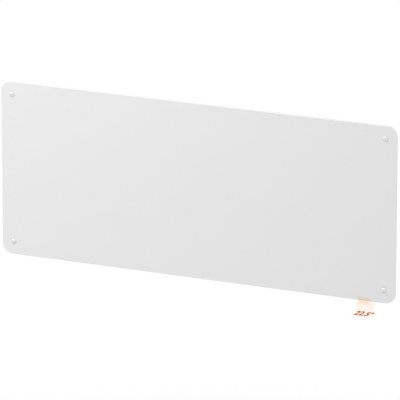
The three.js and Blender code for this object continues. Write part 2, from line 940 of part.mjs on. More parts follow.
function bottomGrille() {
  const right = grilleEnd - servicePlateWidth - seatGap;
  const solid = louvreSolid(right + grilleEnd, inletTilt);
  const grille = piece('bottom_grille', whitePaint, solid, (right - grilleEnd) / 2, 0, -casingTop);
  grille.rotation.y = Math.PI;
  return grille;
}

// Control fascia, its board and its buttons

const fasciaCentreX = grilleEnd - fasciaWidth / 2;
const buttonUnderside = -grillePlate - buttonLipDrop - buttonLip;
const plungerTop = buttonUnderside - buttonStem - buttonTravel - seatGap;
const buttonBoardTop = plungerTop - plungerHeight - switchHeight;

// A plain plate with a skirt that continues the line of a grille, its face at z = 0.
function skirtedPlate(width, skirtDrop) {
  const depth = casingFront - rearPanelBack;
  const skirtWidth = width - 2 * grilleRail;
  const skirtDepth = depth - 2 * grilleRail;
  const skirt = roundedRectangle(skirtWidth, skirtDepth, fasciaRound, 0, -casingMiddle);
  const inside = roundedRectangle(
    skirtWidth - 2 * grilleSkirtWall,
    skirtDepth - 2 * grilleSkirtWall,
    fasciaRound / 2,
    0,
    -casingMiddle,
  );
  return cutFrom(
    joined(
      alongZ(rectangle(width, depth, 0, -casingMiddle), -grillePlate, 0),
      alongZ(skirt, -skirtDrop, -grillePlate / 2),
    ),
    alongZ(inside, -skirtDrop - overrun, -grillePlate),
  );
}

function controlFascia() {
  const holes = [-1, 0, 1].map((place) => alongZ(
    roundedRectangle(
      buttonWidth + 2 * buttonSideGap,
      buttonDepth + 2 * buttonSideGap,
      buttonRound + buttonSideGap,
      place * buttonPitch,
      -casingMiddle,
    ),
    -grillePlate - overrun,
    overrun,
  ));
  const posts = [-1, 1].map((place) => (
    turnedUp(cylinder(postRadius, buttonBoardTop + seatGap, -grillePlate / 2))
      .translate(place * buttonPitch / 2, -casingMiddle, 0)
  ));
  const solid = joinedTo(cutFrom(skirtedPlate(fasciaWidth, grilleSkirt), ...holes), ...posts);
  return piece('control_fascia', whitePlastic, solid, fasciaCentreX, 0, casingTop);
}

// A board with one push switch under each button.
function buttonBoard() {
  const halfLength = buttonPitch + buttonWidth / 2;
  const board = block(
    [-halfLength, halfLength],
    [-buttonDepth, buttonDepth],
    [buttonBoardTop - boardThickness, buttonBoardTop],
  );
  const switches = [-1, 0, 1].flatMap((place) => {
    const plunger = turnedUp(cylinder(plungerRadius, buttonBoardTop, plungerTop));
    plunger.translate(place * buttonPitch, 0, 0);
    const base = block(
      [place * buttonPitch - switchBase / 2, place * buttonPitch + switchBase / 2],
      [-switchBase / 2, switchBase / 2],
      [buttonBoardTop - boardThickness / 2, buttonBoardTop + switchHeight],
    );
    return [base, plunger];
  });
  const solid = joined(board, ...switches);
  return piece('button_board', boardGreen, solid, fasciaCentreX, casingMiddle, casingTop);
}

// A cap with a dished top, a lip that the fascia keeps in, and a stem over its switch.
function pushButton(name, place) {
  const cap = alongZ(roundedRectangle(buttonWidth, buttonDepth, buttonRound), buttonUnderside, buttonProud);
  const lip = alongZ(
    roundedRectangle(
      buttonWidth + 2 * buttonLipWall,
      buttonDepth + 2 * buttonLipWall,
      buttonRound + buttonLipWall,
    ),
    buttonUnderside,
    buttonUnderside + buttonLip,
  );
  const stem = turnedUp(cylinder(postRadius, buttonUnderside - buttonStem, 0));
  const ballRadius = (dishRadius ** 2 + buttonDish ** 2) / (2 * buttonDish);
  const bowl = turnedUp([0, 1, 2, 3].map((step) => {
    const radius = dishRadius * step / 2;
    return [radius, buttonProud - buttonDish + ballRadius - Math.sqrt(ballRadius ** 2 - radius ** 2)];
  }).concat([[0, buttonProud + ballRadius]]));
  const solid = cutFrom(joined(cap, lip, stem), bowl);
  return piece(name, whitePlastic, solid, fasciaCentreX + place * buttonPitch, casingMiddle, casingTop);
}

// Service plate in the casing's floor, and what it carries

const serviceCentreX = grilleEnd - servicePlateWidth / 2;
const floorFace = -casingTop;
const floorTop = -plateInner;
const floorSeat = floorTop + seatGap;

function floorHole(x, depth, radius) {
  const hole = turnedUp(cylinder(radius, floorFace - overrun, floorTop + overrun));
  hole.translate(x, -depth, 0);
  return hole;
}

function servicePlate() {
  const turnedOver = geometryOf(skirtedPlate(servicePlateWidth, grillePlate + fasciaRound));
  turnedOver.rotateY(180 * degrees);
  turnedOver.translate(serviceCentreX, 0, floorFace);
  const solid = cutFrom(
    solidOf(turnedOver),
    floorHole(glandX, casingMiddle, glandNeckRadius + moduleFit),
    floorHole(sensorX, sensorDepth, sensorCageRadius + moduleFit),
    floorHole(projectorX, projectorDepth, projectorNeckRadius + moduleFit),
  );
  return piece('service_plate', whitePlastic, solid);
}

function cableGland() {
  const headTop = floorFace - seatGap;
  const headBottom = headTop - glandHead;
  const capBottom = headBottom - glandCap;
  const neckTop = floorSeat + glandNeck;
  const hexagon = new THREE.Shape(Array.from({ length: 6 }, (_, i) => new THREE.Vector2(
    glandHeadRadius * Math.cos(i * 60 * degrees),
    glandHeadRadius * Math.sin(i * 60 * degrees),
  )));
  const solid = cutFrom(
    joined(
      turnedUp(cylinder(glandNeckRadius, headBottom, neckTop)),
      turnedUp([
        [0, capBottom],
        [glandCapRadius - glandCapRound, capBottom],
        [glandCapRadius, capBottom + glandCapRound],
        [glandCapRadius, headTop],
        [0, headTop],
      ]),
      alongZ(hexagon, headBottom, headTop),
      alongZ(hexagon, floorSeat, floorSeat + glandNut),
    ),
    turnedUp(cylinder(glandBore, capBottom - overrun, neckTop + overrun)),
  );
  return piece('cable_gland', darkPlastic, solid, glandX, casingMiddle);
}

function terminalBlock() {
  const half = terminalDepthSize / 2;
  const top = floorSeat + terminalHeight;
  const stepped = softOutline([
    [-half, floorSeat],
    [half, floorSeat],
    [half, top - terminalStep],
    [half - terminalStep, top - terminalStep],
    [half - terminalStep, top],
    [-half, top],
  ]);
  const holes = [-1, 0, 1].flatMap((place) => {
    const screwWell = turnedUp(cylinder(terminalHole, floorSeat + terminalHeight / 2, top + overrun));
    screwWell.translate(place * terminalPitch, 0, 0);
    const wireHole = turnedForward(cylinder(terminalHole, half / 2, half + overrun));
    wireHole.translate(place * terminalPitch, 0, floorSeat + terminalStep);
    return [screwWell, wireHole];
  });
  const solid = cutFrom(joined(alongX(stepped, terminalWidth)), ...holes);
  return piece('terminal_block', whitePlastic, solid, terminalX, casingMiddle);
}

// A windowed cage under the floor, open at the top, that lets room air reach the bead.
function sensorHolder() {
  const cageBottom = floorFace - sensorCageDrop;
  const innerRadius = sensorCageRadius - sensorCageWall;
  const cup = turnedUp([
    [0, cageBottom],
    [innerRadius, cageBottom],
    [sensorCageRadius, cageBottom + sensorCageWall],
    [sensorCageRadius, floorSeat],
    [sensorFlangeRadius, floorSeat],
    [sensorFlangeRadius, floorSeat + sensorFlange],
    [innerRadius, floorSeat + sensorFlange],
    [innerRadius, cageBottom + sensorCageWall],
    [0, cageBottom + sensorCageWall],
  ]);
  const windowBottom = cageBottom + 2 * sensorCageWall;
  const windows = [0, 60, 120].map((turn) => {
    const bar = block(
      [-sensorCageRadius - overrun, sensorCageRadius + overrun],
      [-sensorWindow / 2, sensorWindow / 2],
      [windowBottom, windowBottom + sensorWindowHeight],
    );
    bar.rotateZ(turn * degrees);
    return bar;
  });
  return piece('sensor_holder', whitePlastic, cutFrom(joined(cup), ...windows), sensorX, sensorDepth);
}

function roomSensor() {
  const beadZ = floorFace - sensorCageDrop + sensorCageWall + seatGap + sensorBeadRadius;
  const collarBottom = floorSeat + sensorFlange + seatGap;
  const collarTop = collarBottom + sensorCollar;
  const beadSteps = [1, 2, 3, 4].map((step) => {
    const angle = (step * 36 - 90) * degrees;
    return [sensorBeadRadius * Math.cos(angle), beadZ + sensorBeadRadius * Math.sin(angle)];
  });
  const solid = joined(turnedUp([
    [0, beadZ - sensorBeadRadius],
    ...beadSteps,
    [sensorStemRadius, beadZ + sensorBeadRadius],
    [sensorStemRadius, collarBottom],
    [sensorCageRadius, collarBottom],
    [sensorCageRadius, collarTop],
    [sensorStemRadius, collarTop],
    [sensorStemRadius, collarTop + sensorStemTop],
    [0, collarTop + sensorStemTop],
  ]));
  return piece('room_sensor', blackRubber, solid, sensorX, sensorDepth);
}

// Projector module that throws the reading downwards

const neckBottom = floorFace - projectorProud;
const displayZ = floorSeat + displayHeight;
const barrelTop = floorSeat + projectorHeight;
const opticsRadius = projectorNeckRadius - projectorWall;
const barrelBore = projectorBarrelRadius - projectorWall;

function projectorHousing() {
  const lip = opticsRadius - lensSeat;
  const solid = joined(turnedUp([
    [lip, neckBottom],
    [projectorNeckRadius, neckBottom],
    [projectorNeckRadius, floorSeat],
    [projectorBarrelRadius, floorSeat],
    [projectorBarrelRadius, barrelTop],
    [barrelBore, barrelTop],
    [barrelBore, displayZ],
    [barrelBore - displayLedge, displayZ],
    [barrelBore - displayLedge, floorSeat + lensSeat],
    [opticsRadius, floorSeat + lensSeat],
    [opticsRadius, neckBottom + lensSeat],
    [lip, neckBottom + lensSeat],
    [lip, neckBottom],
  ]));
  return piece('projector_housing', darkPlastic, solid, projectorX, projectorDepth);
}

function projectorLens() {
  const rim = opticsRadius - moduleFit;
  const bottom = neckBottom + lensSeat + seatGap;
  const dome = [0, 1, 2, 3].map((step) => {
    const inward = step / 3;
    return [rim * (1 - inward), bottom + lensThickness + lensBulge * (1 - (1 - inward) ** 2)];
  });
  const solid = joined(turnedUp([[0, bottom], [rim, bottom], ...dome]));
  return piece('projector_lens', clearPlastic, solid, projectorX, projectorDepth);
}

function projectorDisplay() {
  const bottom = displayZ + seatGap;
  const disc = turnedUp(cylinder(barrelBore - moduleFit, bottom, bottom + displayThickness));
  return piece('projector_display', darkPlastic, joined(disc), projectorX, projectorDepth);
}

function projectorLedBoard() {
  const bottom = barrelTop + seatGap;
  const outline = roundedRectangle(ledBoardSize, ledBoardSize, fasciaRound);
  const board = alongZ(outline, bottom, bottom + boardThickness);
  const lamp = turnedUp([
    ...ledDomeShares.map(([across, down]) => [ledRadius * across, bottom - ledHeight * down]),
    [ledRadius, bottom + boardThickness / 2],
    [0, bottom + boardThickness / 2],
  ]);
  return piece('projector_led_board', boardGreen, joined(board, lamp), projectorX, projectorDepth);
}

// Heating element

// An extruded hub with a web above and below and a comb of fins on both sides.
function heatingElement() {
  const half = finWall / 2;
  const finCount = Math.floor((finHeight / 2 - elementHubRadius) / finPitch);
  const hub = disc(elementHubRadius);
  const bore = disc(rodRadius + rodFit);
  const web = rectangle(finWall, finHeight);
  const fins = [-1, 1].flatMap((up) => Array.from({ length: finCount }, (_, i) => {
    const root = up * (elementHubRadius + (i + 1 / 2) * finPitch);
    const tip = root + up * finRise;
    return softOutline([
      [-finReach, tip - half],
      [0, root - half],
      [finReach, tip - half],
      [finReach, tip + half],
      [0, root + half],
      [-finReach, tip + half],
    ]);
  }));
  const profile = cutFrom(
    joined(...[hub, web, ...fins].map((section) => alongX(section, elementLength))),
    alongX(bore, elementLength + overrun),
  );
  const combCount = Math.floor(elementLength / combPitch);
  const combs = Array.from({ length: combCount }, (_, i) => {
    const x = (i - (combCount - 1) / 2) * combPitch;
    return [-1, 1].map((up) => block(
      [x - combSlot / 2, x + combSlot / 2],
      [-finReach - overrun, finReach + overrun],
      [up * (elementHubRadius + finWall), up * (finHeight / 2 + overrun)],
    ));
  }).flat();
  const solid = cutFrom(profile, ...combs);
  return piece('heating_element', aluminium, solid, elementCentreX, elementDepth, elementZ);
}

const rodHalf = elementLength / 2 + hangerGap + sheet + rodOverhang;
const pinTip = rodHalf + rodNeck + pinLength;

function heatingRod() {
  const rod = turnedSideways([
    [0, -rodHalf],
    [rodRadius, -rodHalf],
    [rodRadius, rodHalf],
    [rodNeckRadius, rodHalf],
    [rodNeckRadius, rodHalf + rodNeck],
    [0, rodHalf + rodNeck],
  ]);
  const pins = [-1, 1].map((place) => {
    const pin = turnedSideways(cylinder(pinRadius, rodHalf + rodNeck / 2, pinTip));
    pin.translate(0, 0, place * pinSpacing / 2);
    return pin;
  });
  return piece('heating_rod', brightSteel, joined(rod, ...pins), elementCentreX, elementDepth, elementZ);
}

// A bent steel ear on the back of the chassis with a hole for the rod.
function elementHanger(name, side) {
  const ear = elementLength / 2 + hangerGap + sheet / 2;
  const footDepth = chassisBack - seatGap - sheet / 2;
  const section = sheetSection([
    [side * ear, hangerBackReach - elementDepth],
    [side * ear, -footDepth, bendReach],
    [side * (ear + hangerFoot), -footDepth],
  ], sheet);
  const hole = turnedSideways(cylinder(rodRadius + hangerHoleGap, -2 * sheet, 2 * sheet));
  hole.translate(side * ear, -elementDepth, 0);
  const bracket = cutFrom(joined(alongZ(section, -hangerHeight / 2, hangerHeight / 2)), hole);
  return piece(name, zincSteel, bracket, elementCentreX, 0, elementZ);
}

// A thin reflector that stands off the rear panel on its two bent edges.
function heatShield() {
  const faceLine = shieldBack + shieldSheet / 2;
  const footLine = rearPanelFront + seatGap + shieldSheet / 2;
  const section = sheetSection([
    [footLine, shieldBottomZ - shieldFoot],
    [footLine, shieldBottomZ, bendReach / 2],
    [faceLine, shieldBottomZ + shieldStandoff, bendReach / 2],
    [faceLine, shieldTopZ - shieldStandoff, bendReach / 2],
    [footLine, shieldTopZ, bendReach / 2],
    [footLine, shieldTopZ + shieldFoot],
  ], shieldSheet);
  const reflector = alongX(section, elementLength + 2 * shieldOverhang, elementCentreX);
  return piece('heat_shield', aluminium, joined(reflector));
}

function thermalCutout() {
  const bodyFar = cutoutDisc + cutoutBody;
  const body = turnedForward([
    [0, 0],
    [cutoutDiscRadius, 0],
    [cutoutDiscRadius, cutoutDisc],
    [cutoutBodyRadius, cutoutDisc],
    [cutoutBodyRadius, bodyFar],
    [0, bodyFar],
  ]);
  const tabs = [-1, 1].map((side) => block(
    [side * cutoutTabOffset, side * (cutoutBodyRadius + cutoutTabLength)],
    [bodyFar - cutoutTab, bodyFar + cutoutTab / 2],
    [-cutoutTabWidth / 2, cutoutTabWidth / 2],
  ));
  const solid = joined(body, ...tabs);
  return piece('thermal_cutout', darkPlastic, solid, cutoutX, shieldFront + seatGap, cutoutZ);
}

// Control housing

const housingCentreX = (housingLeft + housingRight) / 2;
const housingCentreZ = (housingBottomZ + housingTopZ) / 2;
const housingHeight = housingTopZ - housingBottomZ;
const boardBack = boardFront - boardThickness;

// The housing's outline, drawn in from its edge.
function housingOutline(inset) {
  return roundedRectangle(
    housingWidth - 2 * inset,
    housingHeight - 2 * inset,
    Math.max(housingRound - inset, housingRound / 2),
    housingCentreX,
    housingCentreZ,
  );
}

function controlHousing() {
  const floor = housingBack + mouldedWall;
  const tray = cutFrom(
    joined(plate(housingOutline(0), housingBack, housingFront)),
    plate(housingOutline(mouldedWall), floor, housingFront + overrun),
  );
  const stands = [-1, 1].flatMap((sideX) => [-1, 1].map((sideZ) => block(
    [
      housingCentreX + sideX * (housingWidth - mouldedWall) / 2,
      housingCentreX + sideX * (housingWidth / 2 - mouldedWall - standWidth),
    ],
    [floor - mouldedWall / 2, boardBack - seatGap],
    [
      housingCentreZ + sideZ * (housingHeight - mouldedWall) / 2,
      housingCentreZ + sideZ * (housingHeight / 2 - mouldedWall - standWidth),
    ],
  )));
  const bore = cylinder(leadHoleRadius, housingLeft - overrun, housingLeft + mouldedWall + overrun);
  const leadHole = turnedSideways(bore).translate(0, -elementDepth, elementZ);
  return piece('control_housing', darkPlastic, cutFrom(joinedTo(tray, ...stands), leadHole));
}

function controlCover() {
  const near = housingFront + seatGap;
  const solid = cutFrom(
    joined(
      plate(housingOutline(0), near, near + coverThickness),
      plate(housingOutline(mouldedWall + moduleFit), near - coverLip, near + coverThickness / 2),
    ),
    plate(housingOutline(mouldedWall + moduleFit + coverThickness), near - coverLip - overrun, near),
  );
  return piece('control_cover', darkPlastic, solid);
}

function controlBoard() {
  const board = plate(housingOutline(mouldedWall + moduleFit), boardBack, boardFront);
  return piece('control_board', boardGreen, joined(board));
}

// What stands on the back of the control board, at a height from its middle.
function boardPart(name, width, height, depth, rise) {
  const far = boardBack - seatGap;
  const outline = roundedRectangle(width, height, sheet, housingCentreX, housingCentreZ + rise);
  return piece(name, darkPlastic, joined(plate(outline, far - depth, far)));
}

// A lead from a rod pin, through the housing's side, to the control board.
function elementLead(name, place) {
  const start = elementCentreX + pinTip + seatGap;
  const endDepth = boardBack - seatGap - leadRadius;
  const z = elementZ + place * pinSpacing / 2;
  const route = new THREE.CatmullRomCurve3([
    new THREE.Vector3(start, -elementDepth, z),
    new THREE.Vector3(start + leadSpread, -elementDepth, z),
    new THREE.Vector3((start + housingLeft) / 2, -elementDepth, z - leadSag),
    new THREE.Vector3(housingLeft, -elementDepth, z),
    new THREE.Vector3(housingLeft + leadEntry, -endDepth, z + place * leadSpread),
  ]);
  const section = new THREE.Shape(Array.from({ length: leadSides }, (_, i) => {
    const angle = i * 360 / leadSides * degrees;
    return new THREE.Vector2(leadRadius * Math.cos(angle), leadRadius * Math.sin(angle));
  }));
  const tube = new THREE.ExtrudeGeometry(section, { steps: leadSteps, extrudePath: route });
  return piece(name, blackRubber, joined(tube));
}

// Power rocker in the right-hand end cap

// Drawn with the outer face towards +Z, the switch frame is turned to face +X.
function switchFrame() {
  const front = seatGap + bezelThickness;
  const bezel = roundedRectangle(bezelHeight, bezelWidth, bezelRound);
  const body = rectangle(switchBodyHeight, switchBodyWidth);
  const well = rectangle(rockerLength + 2 * rockerEndGap, rockerWidth + 2 * rockerSideGap);
  const tabs = [-1, 0, 1].map((place) => block(
    [place * tabPitch - tabThickness / 2, place * tabPitch + tabThickness / 2],
    [-tabWidth / 2, tabWidth / 2],
    [-switchBodyDepth - tabLength, -switchBodyDepth + tabThickness],
  ));
  const solid = cutFrom(
    joined(alongZ(bezel, seatGap, front), alongZ(body, -switchBodyDepth, front), ...tabs),
    alongZ(well, front - rockerWellDepth, front + overrun),
  );
  const frame = piece('switch_frame', darkPlastic, solid, casingSide, casingMiddle, rockerZ);
  frame.rotation.y = 90 * degrees;
  return frame;
}

// A shallow V on a round hub, tipped to one side about the axis at its origin.
function powerRocker() {
  const half = rockerLength / 2;
  const outline = new THREE.Shape();
  outline.moveTo(half, 0);
  outline.lineTo(half, rockerRise);
  outline.lineTo(0, rockerDishRise);
  outline.lineTo(-half, rockerRise);
  outline.lineTo(-half, 0);
  outline.lineTo(-rockerHub, 0);
  const hubSteps = 2 * quarterSteps(rockerHub);
  for (let i = 1; i <= hubSteps; i += 1) {
    const angle = (180 + 180 * i / hubSteps) * degrees;
    outline.lineTo(rockerHub * Math.cos(angle), rockerHub * Math.sin(angle));
  }
  const tipped = alongX(outline, rockerWidth);
  tipped.rotateZ(quarterTurn);
  tipped.rotateY(quarterTurn);
  tipped.rotateY(-rockerTilt * degrees);
  const pivotX = casingSide + seatGap + bezelThickness - rockerPivotSink;
  return piece('power_rocker', whitePlastic, solidOf(tipped), pivotX, casingMiddle, rockerZ);
}

// The whole heater

const bracket = new THREE.Group();
bracket.add(
  bracketLeg('bracket_leg_left', -1),
  bracketLeg('bracket_leg_right', 1),
  bracketCrossbar('bracket_crossbar_upper', crossbarUpperZ),
  bracketCrossbar('bracket_crossbar_middle', 0),
  bracketCatch('bracket_catch_left', -1),
  bracketCatch('bracket_catch_right', 1),
);

const front = new THREE.Group();
front.add(
  frontChassis(),
  glassPanel(),
  ...atEachStud((corner, x, z) => standoff(`standoff_${corner}`, x, z)),
  ...atEachStud((corner, x, z) => studBush(`stud_bush_${corner}`, x, z)),
  ...atEachStud((corner, x, z) => studCap(`stud_cap_${corner}`, x, z)),
);

const casing = new THREE.Group();
casing.add(
  rearPanel(),
  wallBuffer('wall_buffer_left', -1),
  wallBuffer('wall_buffer_right', 1),
  endCapLeft(),
  endCapRight(),
  topGrille(),
  bottomGrille(),
  servicePlate(),
  cableGland(),
  terminalBlock(),
  sensorHolder(),
  roomSensor(),
);

const heating = new THREE.Group();
heating.add(
  heatingElement(),
  heatingRod(),
  elementHanger('element_hanger_left', -1),
  elementHanger('element_hanger_right', 1),
  heatShield(),
  thermalCutout(),
);

const controls = new THREE.Group();
controls.add(
  controlHousing(),
  controlCover(),
  controlBoard(),
  boardPart('power_relay', relayWidth, relayHeight, relayDepth, -relayDrop),
  boardPart('power_supply', supplyWidth, supplyHeight, supplyDepth, supplyRise),
  elementLead('element_lead_live', 1),
  elementLead('element_lead_neutral', -1),
  controlFascia(),
  buttonBoard(),
  pushButton('button_minus', -1),
  pushButton('button_plus', 0),
  pushButton('button_mode', 1),
  switchFrame(),
  powerRocker(),
);

const projector = new THREE.Group();
projector.add(projectorHousing(), projectorLens(), projectorDisplay(), projectorLedBoard());

const glassPanelHeater = new THREE.Group();
glassPanelHeater.add(bracket, front, casing, heating, controls, projector);

export default glassPanelHeater;
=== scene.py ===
"""A wall-hung glass panel heater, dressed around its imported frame. Metres, +Z up, wall at y = 0."""

import math

import bmesh
import bpy
from mathutils import Matrix, Vector
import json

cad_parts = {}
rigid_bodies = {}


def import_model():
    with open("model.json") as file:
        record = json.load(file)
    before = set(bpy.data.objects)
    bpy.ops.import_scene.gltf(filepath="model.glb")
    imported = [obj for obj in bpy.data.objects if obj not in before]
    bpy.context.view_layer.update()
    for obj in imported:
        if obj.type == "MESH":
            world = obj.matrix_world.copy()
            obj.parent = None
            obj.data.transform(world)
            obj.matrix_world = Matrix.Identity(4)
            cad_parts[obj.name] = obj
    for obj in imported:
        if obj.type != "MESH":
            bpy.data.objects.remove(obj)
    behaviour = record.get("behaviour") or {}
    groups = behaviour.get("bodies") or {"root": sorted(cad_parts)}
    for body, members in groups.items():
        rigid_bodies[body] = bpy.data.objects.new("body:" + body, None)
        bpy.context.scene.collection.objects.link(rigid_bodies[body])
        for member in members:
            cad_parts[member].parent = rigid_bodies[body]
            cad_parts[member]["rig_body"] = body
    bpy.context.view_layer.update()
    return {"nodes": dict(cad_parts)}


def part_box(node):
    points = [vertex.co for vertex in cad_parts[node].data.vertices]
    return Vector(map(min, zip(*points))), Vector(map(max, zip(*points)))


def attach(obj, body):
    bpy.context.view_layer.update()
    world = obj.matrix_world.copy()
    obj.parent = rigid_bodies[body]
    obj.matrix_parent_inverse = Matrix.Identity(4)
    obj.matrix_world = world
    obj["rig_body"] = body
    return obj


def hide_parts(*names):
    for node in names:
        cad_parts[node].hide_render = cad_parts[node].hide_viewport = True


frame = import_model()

mm = 0.001
view_turn = math.radians(23.49)
view_rise = math.radians(17.03)
view_distance = 9.00236
view_target = Vector((-0.02604, 0, -0.04271))
picture_pixels = 400
focus_pixels = 4788.45


def added(name, data):
    """An object for a camera, a lamp or a mesh, linked into the scene."""
    thing = bpy.data.objects.new(name, data)
    bpy.context.scene.collection.objects.link(thing)
    return thing


def stood_at(thing, place, back):
    """Puts a camera or a lamp at a place, with its back to a direction."""
    turn = back.to_track_quat("Z", "Y").to_matrix().to_4x4()
    thing.matrix_world = Matrix.Translation(place) @ turn


long_lens = bpy.data.cameras.new("long_lens")
long_lens.sensor_width = 36
long_lens.lens = focus_pixels / picture_pixels * long_lens.sensor_width
long_lens.clip_end = 60
camera = added("long_lens", long_lens)
bpy.context.scene.camera = camera
bpy.context.scene.view_settings.view_transform = "Standard"
towards_camera = Vector((
    math.sin(view_turn) * math.cos(view_rise),
    -math.cos(view_turn) * math.cos(view_rise),
    math.sin(view_rise),
))
stood_at(camera, view_target + view_distance * towards_camera, towards_camera)


# The room
# A plain pale floor lies a metre below the heater's middle and fades into white air. One wide
# soft lamp high on the left gives the glass its slow fall of light, one lights its right edge
# and one fills in the back.
class Channel:
    """One output in a tree of nodes. A sum written on it adds the nodes that work it out."""

    def __init__(self, tree, socket=None):
        self.tree = tree
        self.socket = socket

    def node(self, kind, settings=None, sockets=None, out=0):
        made = self.tree.nodes.new(kind)
        for name, value in (settings or {}).items():
            setattr(made, name, value)
        for key, value in (sockets or {}).items():
            if isinstance(value, Channel):
                self.tree.links.new(value.socket, made.inputs[key])
            else:
                made.inputs[key].default_value = value
        return Channel(self.tree, made.outputs[out] if made.outputs else None)

    def sum(self, operation, *values):
        return self.node("ShaderNodeMath", {"operation": operation}, dict(enumerate(values)))

    def __add__(self, other):
        return self.sum("ADD", self, other)

    def __sub__(self, other):
        return self.sum("SUBTRACT", self, other)

    def __rsub__(self, other):
        return self.sum("SUBTRACT", other, self)

    def __mul__(self, other):
        return self.sum("MULTIPLY", self, other)

    def __truediv__(self, other):
        return self.sum("DIVIDE", self, other)

    def __rtruediv__(self, other):
        return self.sum("DIVIDE", other, self)

    __radd__ = __add__
    __rmul__ = __mul__

    def vector(self, operation, *values, out=0):
        return self.node("ShaderNodeVectorMath", {"operation": operation}, dict(enumerate(values)), out)

    def length(self):
        return self.vector("LENGTH", self, out="Value")

    def part(self, axis):
        return self.node("ShaderNodeSeparateXYZ", sockets={0: self}, out="xyz".index(axis))

    def xyz(self, x=0.0, y=0.0, z=0.0):
        """A vector in the same tree, from numbers or channels."""
        return self.node("ShaderNodeCombineXYZ", sockets={0: x, 1: y, 2: z})

    def drawn_out(self, x, y, z):
        """The same places with each axis multiplied, so that a pattern runs along one of them."""
        return self.vector("MULTIPLY", self, (x, y, z))

    def blend(self, low, high):
        """The colour from low to high as this value goes from 0 to 1."""
        return self.node("ShaderNodeMix", {"data_type": "RGBA"}, {0: self, 6: low, 7: high}, out=2)

    def step(self, low, high):
        """0 up to low, 1 from high, and a soft rise between them."""
        return self.node(
            "ShaderNodeMapRange",
            {"interpolation_type": "SMOOTHSTEP"},
            {"Value": self, "From Min": low, "From Max": high},
        )

    def noise(self, per_metre, detail=2.0):
        return self.node(
            "ShaderNodeTexNoise", sockets={"Vector": self, "Scale": per_metre, "Detail": detail},
        )


def bare_tree(owner):
    """The emptied tree of a world or a material, for the nodes that are added to it."""
    owner.use_nodes = True
    owner.node_tree.nodes.clear()
    return Channel(owner.node_tree)


air = bpy.data.worlds.new("white_air")
bpy.context.scene.world = air
sky = bare_tree(air)
air_light = 0.656
seen_air = (
    sky.node("ShaderNodeLightPath", out="Is Camera Ray")
    + sky.node("ShaderNodeLightPath", out="Is Glossy Ray")
    + sky.node("ShaderNodeLightPath", out="Is Transmission Ray")
)
air_strength = air_light + (1 - air_light) * seen_air.sum("MINIMUM", seen_air, 1)
air_shade = sky.node("ShaderNodeBackground", sockets={"Color": (1, 1, 1, 1), "Strength": air_strength})
sky.node("ShaderNodeOutputWorld", sockets={"Surface": air_shade})

lamps = (
    ("key_lamp", (-1.1, -1.35, 1.45), 2.4, 30),
    ("edge_lamp", (2.7, -0.45, 0.2), 1.4, 7.5),
    ("back_lamp", (1.7, 1.9, 1.0), 1.8, 12),
)
for name, place, width, power in lamps:
    lamp = bpy.data.lights.new(name, "AREA")
    lamp.shape = "DISK"
    lamp.size = width
    lamp.energy = power
    stood_at(added(name, lamp), Vector(place), Vector(place))


def mesh_of(shape, name):
    """The mesh of a bmesh that is finished with."""
    mesh = bpy.data.meshes.new(name)
    shape.to_mesh(mesh)
    shape.free()
    return mesh


def disc(name, middle, wide, deep, sides):
    """The mesh of a level disc, from its middle and its reach along its width and its depth."""
    shape = bmesh.new()
    bmesh.ops.create_circle(shape, cap_ends=True, segments=sides, radius=1)
    bmesh.ops.scale(shape, verts=shape.verts, vec=(wide, deep, 1))
    bmesh.ops.translate(shape, verts=shape.verts, vec=middle)
    return mesh_of(shape, name)


def shown(name, mesh, *coats):
    """An object for a finished mesh, in its coats."""
    for coat in coats:
        mesh.materials.append(coat)
    return added(name, mesh)


def clear_where(share, shader):
    """The end of a material's tree: the shader where the share is 0, nothing where it is 1."""
    nothing = shader.node("ShaderNodeBsdfTransparent")
    mixed = shader.node("ShaderNodeMixShader", sockets={0: share, 1: shader, 2: nothing})
    shader.node("ShaderNodeOutputMaterial", sockets={"Surface": mixed})


floor_level = -1.0
floor_reach = 1.75
floor_fade = 0.75
pale_floor = bpy.data.materials.new("pale_floor")
ground = bare_tree(pale_floor)
from_middle = ground.node("ShaderNodeTexCoord", out="Object").drawn_out(1, 1, 0).length()
ground_matt = ground.node("ShaderNodeBsdfDiffuse", sockets={"Color": (0.86, 0.86, 0.86, 1)})
ground_back = ground.node("ShaderNodeNewGeometry", out="Backfacing")
clear_where(ground_back.sum("MAXIMUM", ground_back, from_middle.step(floor_fade, floor_reach)), ground_matt)
floor = shown("floor", disc("floor", (0, 0, floor_level), floor_reach, floor_reach, 96), pale_floor)


# Wall bracket: legs and crossbars
# Two channel legs are folded from 1.5 mm hot-dip galvanised sheet, with hooks that carry the
# heater. Two flat bars with stepped ends are riveted across them.
same_spot = 0.002 * mm
soft_crease = 40


def finish(name, paint):
    """A material from the sockets that paint gives for a place on the piece."""
    made = bpy.data.materials.new(name)
    place = bare_tree(made).node("ShaderNodeTexCoord", out="Object")
    sockets = paint(place)
    if "relief" in sockets:
        height, depth = sockets.pop("relief")
        sockets["Normal"] = place.node("ShaderNodeBump", sockets={"Height": height, "Distance": depth})
    shader = place.node("ShaderNodeBsdfPrincipled", sockets=sockets)
    place.node("ShaderNodeOutputMaterial", sockets={"Surface": shader})
    return made


def finished_mesh(piece):
    """The mesh that a piece's modifiers or its letters come to."""
    bpy.context.view_layer.update()
    depsgraph = bpy.context.evaluated_depsgraph_get()
    return bpy.data.meshes.new_from_object(piece.evaluated_get(depsgraph))


def plain(piece):
    """Turns a piece's modifiers into its mesh."""
    mesh = finished_mesh(piece)
    piece.modifiers.clear()
    piece.data = mesh
    return piece


def fitted(piece, body):
    """A piece that is added to a body."""
    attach(piece, body)
    return piece


def stands_for(piece, *nodes):
    """A piece that is shown instead of nodes of the frame."""
    fitted(piece, frame["nodes"][nodes[0]]["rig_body"])
    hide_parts(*nodes)
    return piece


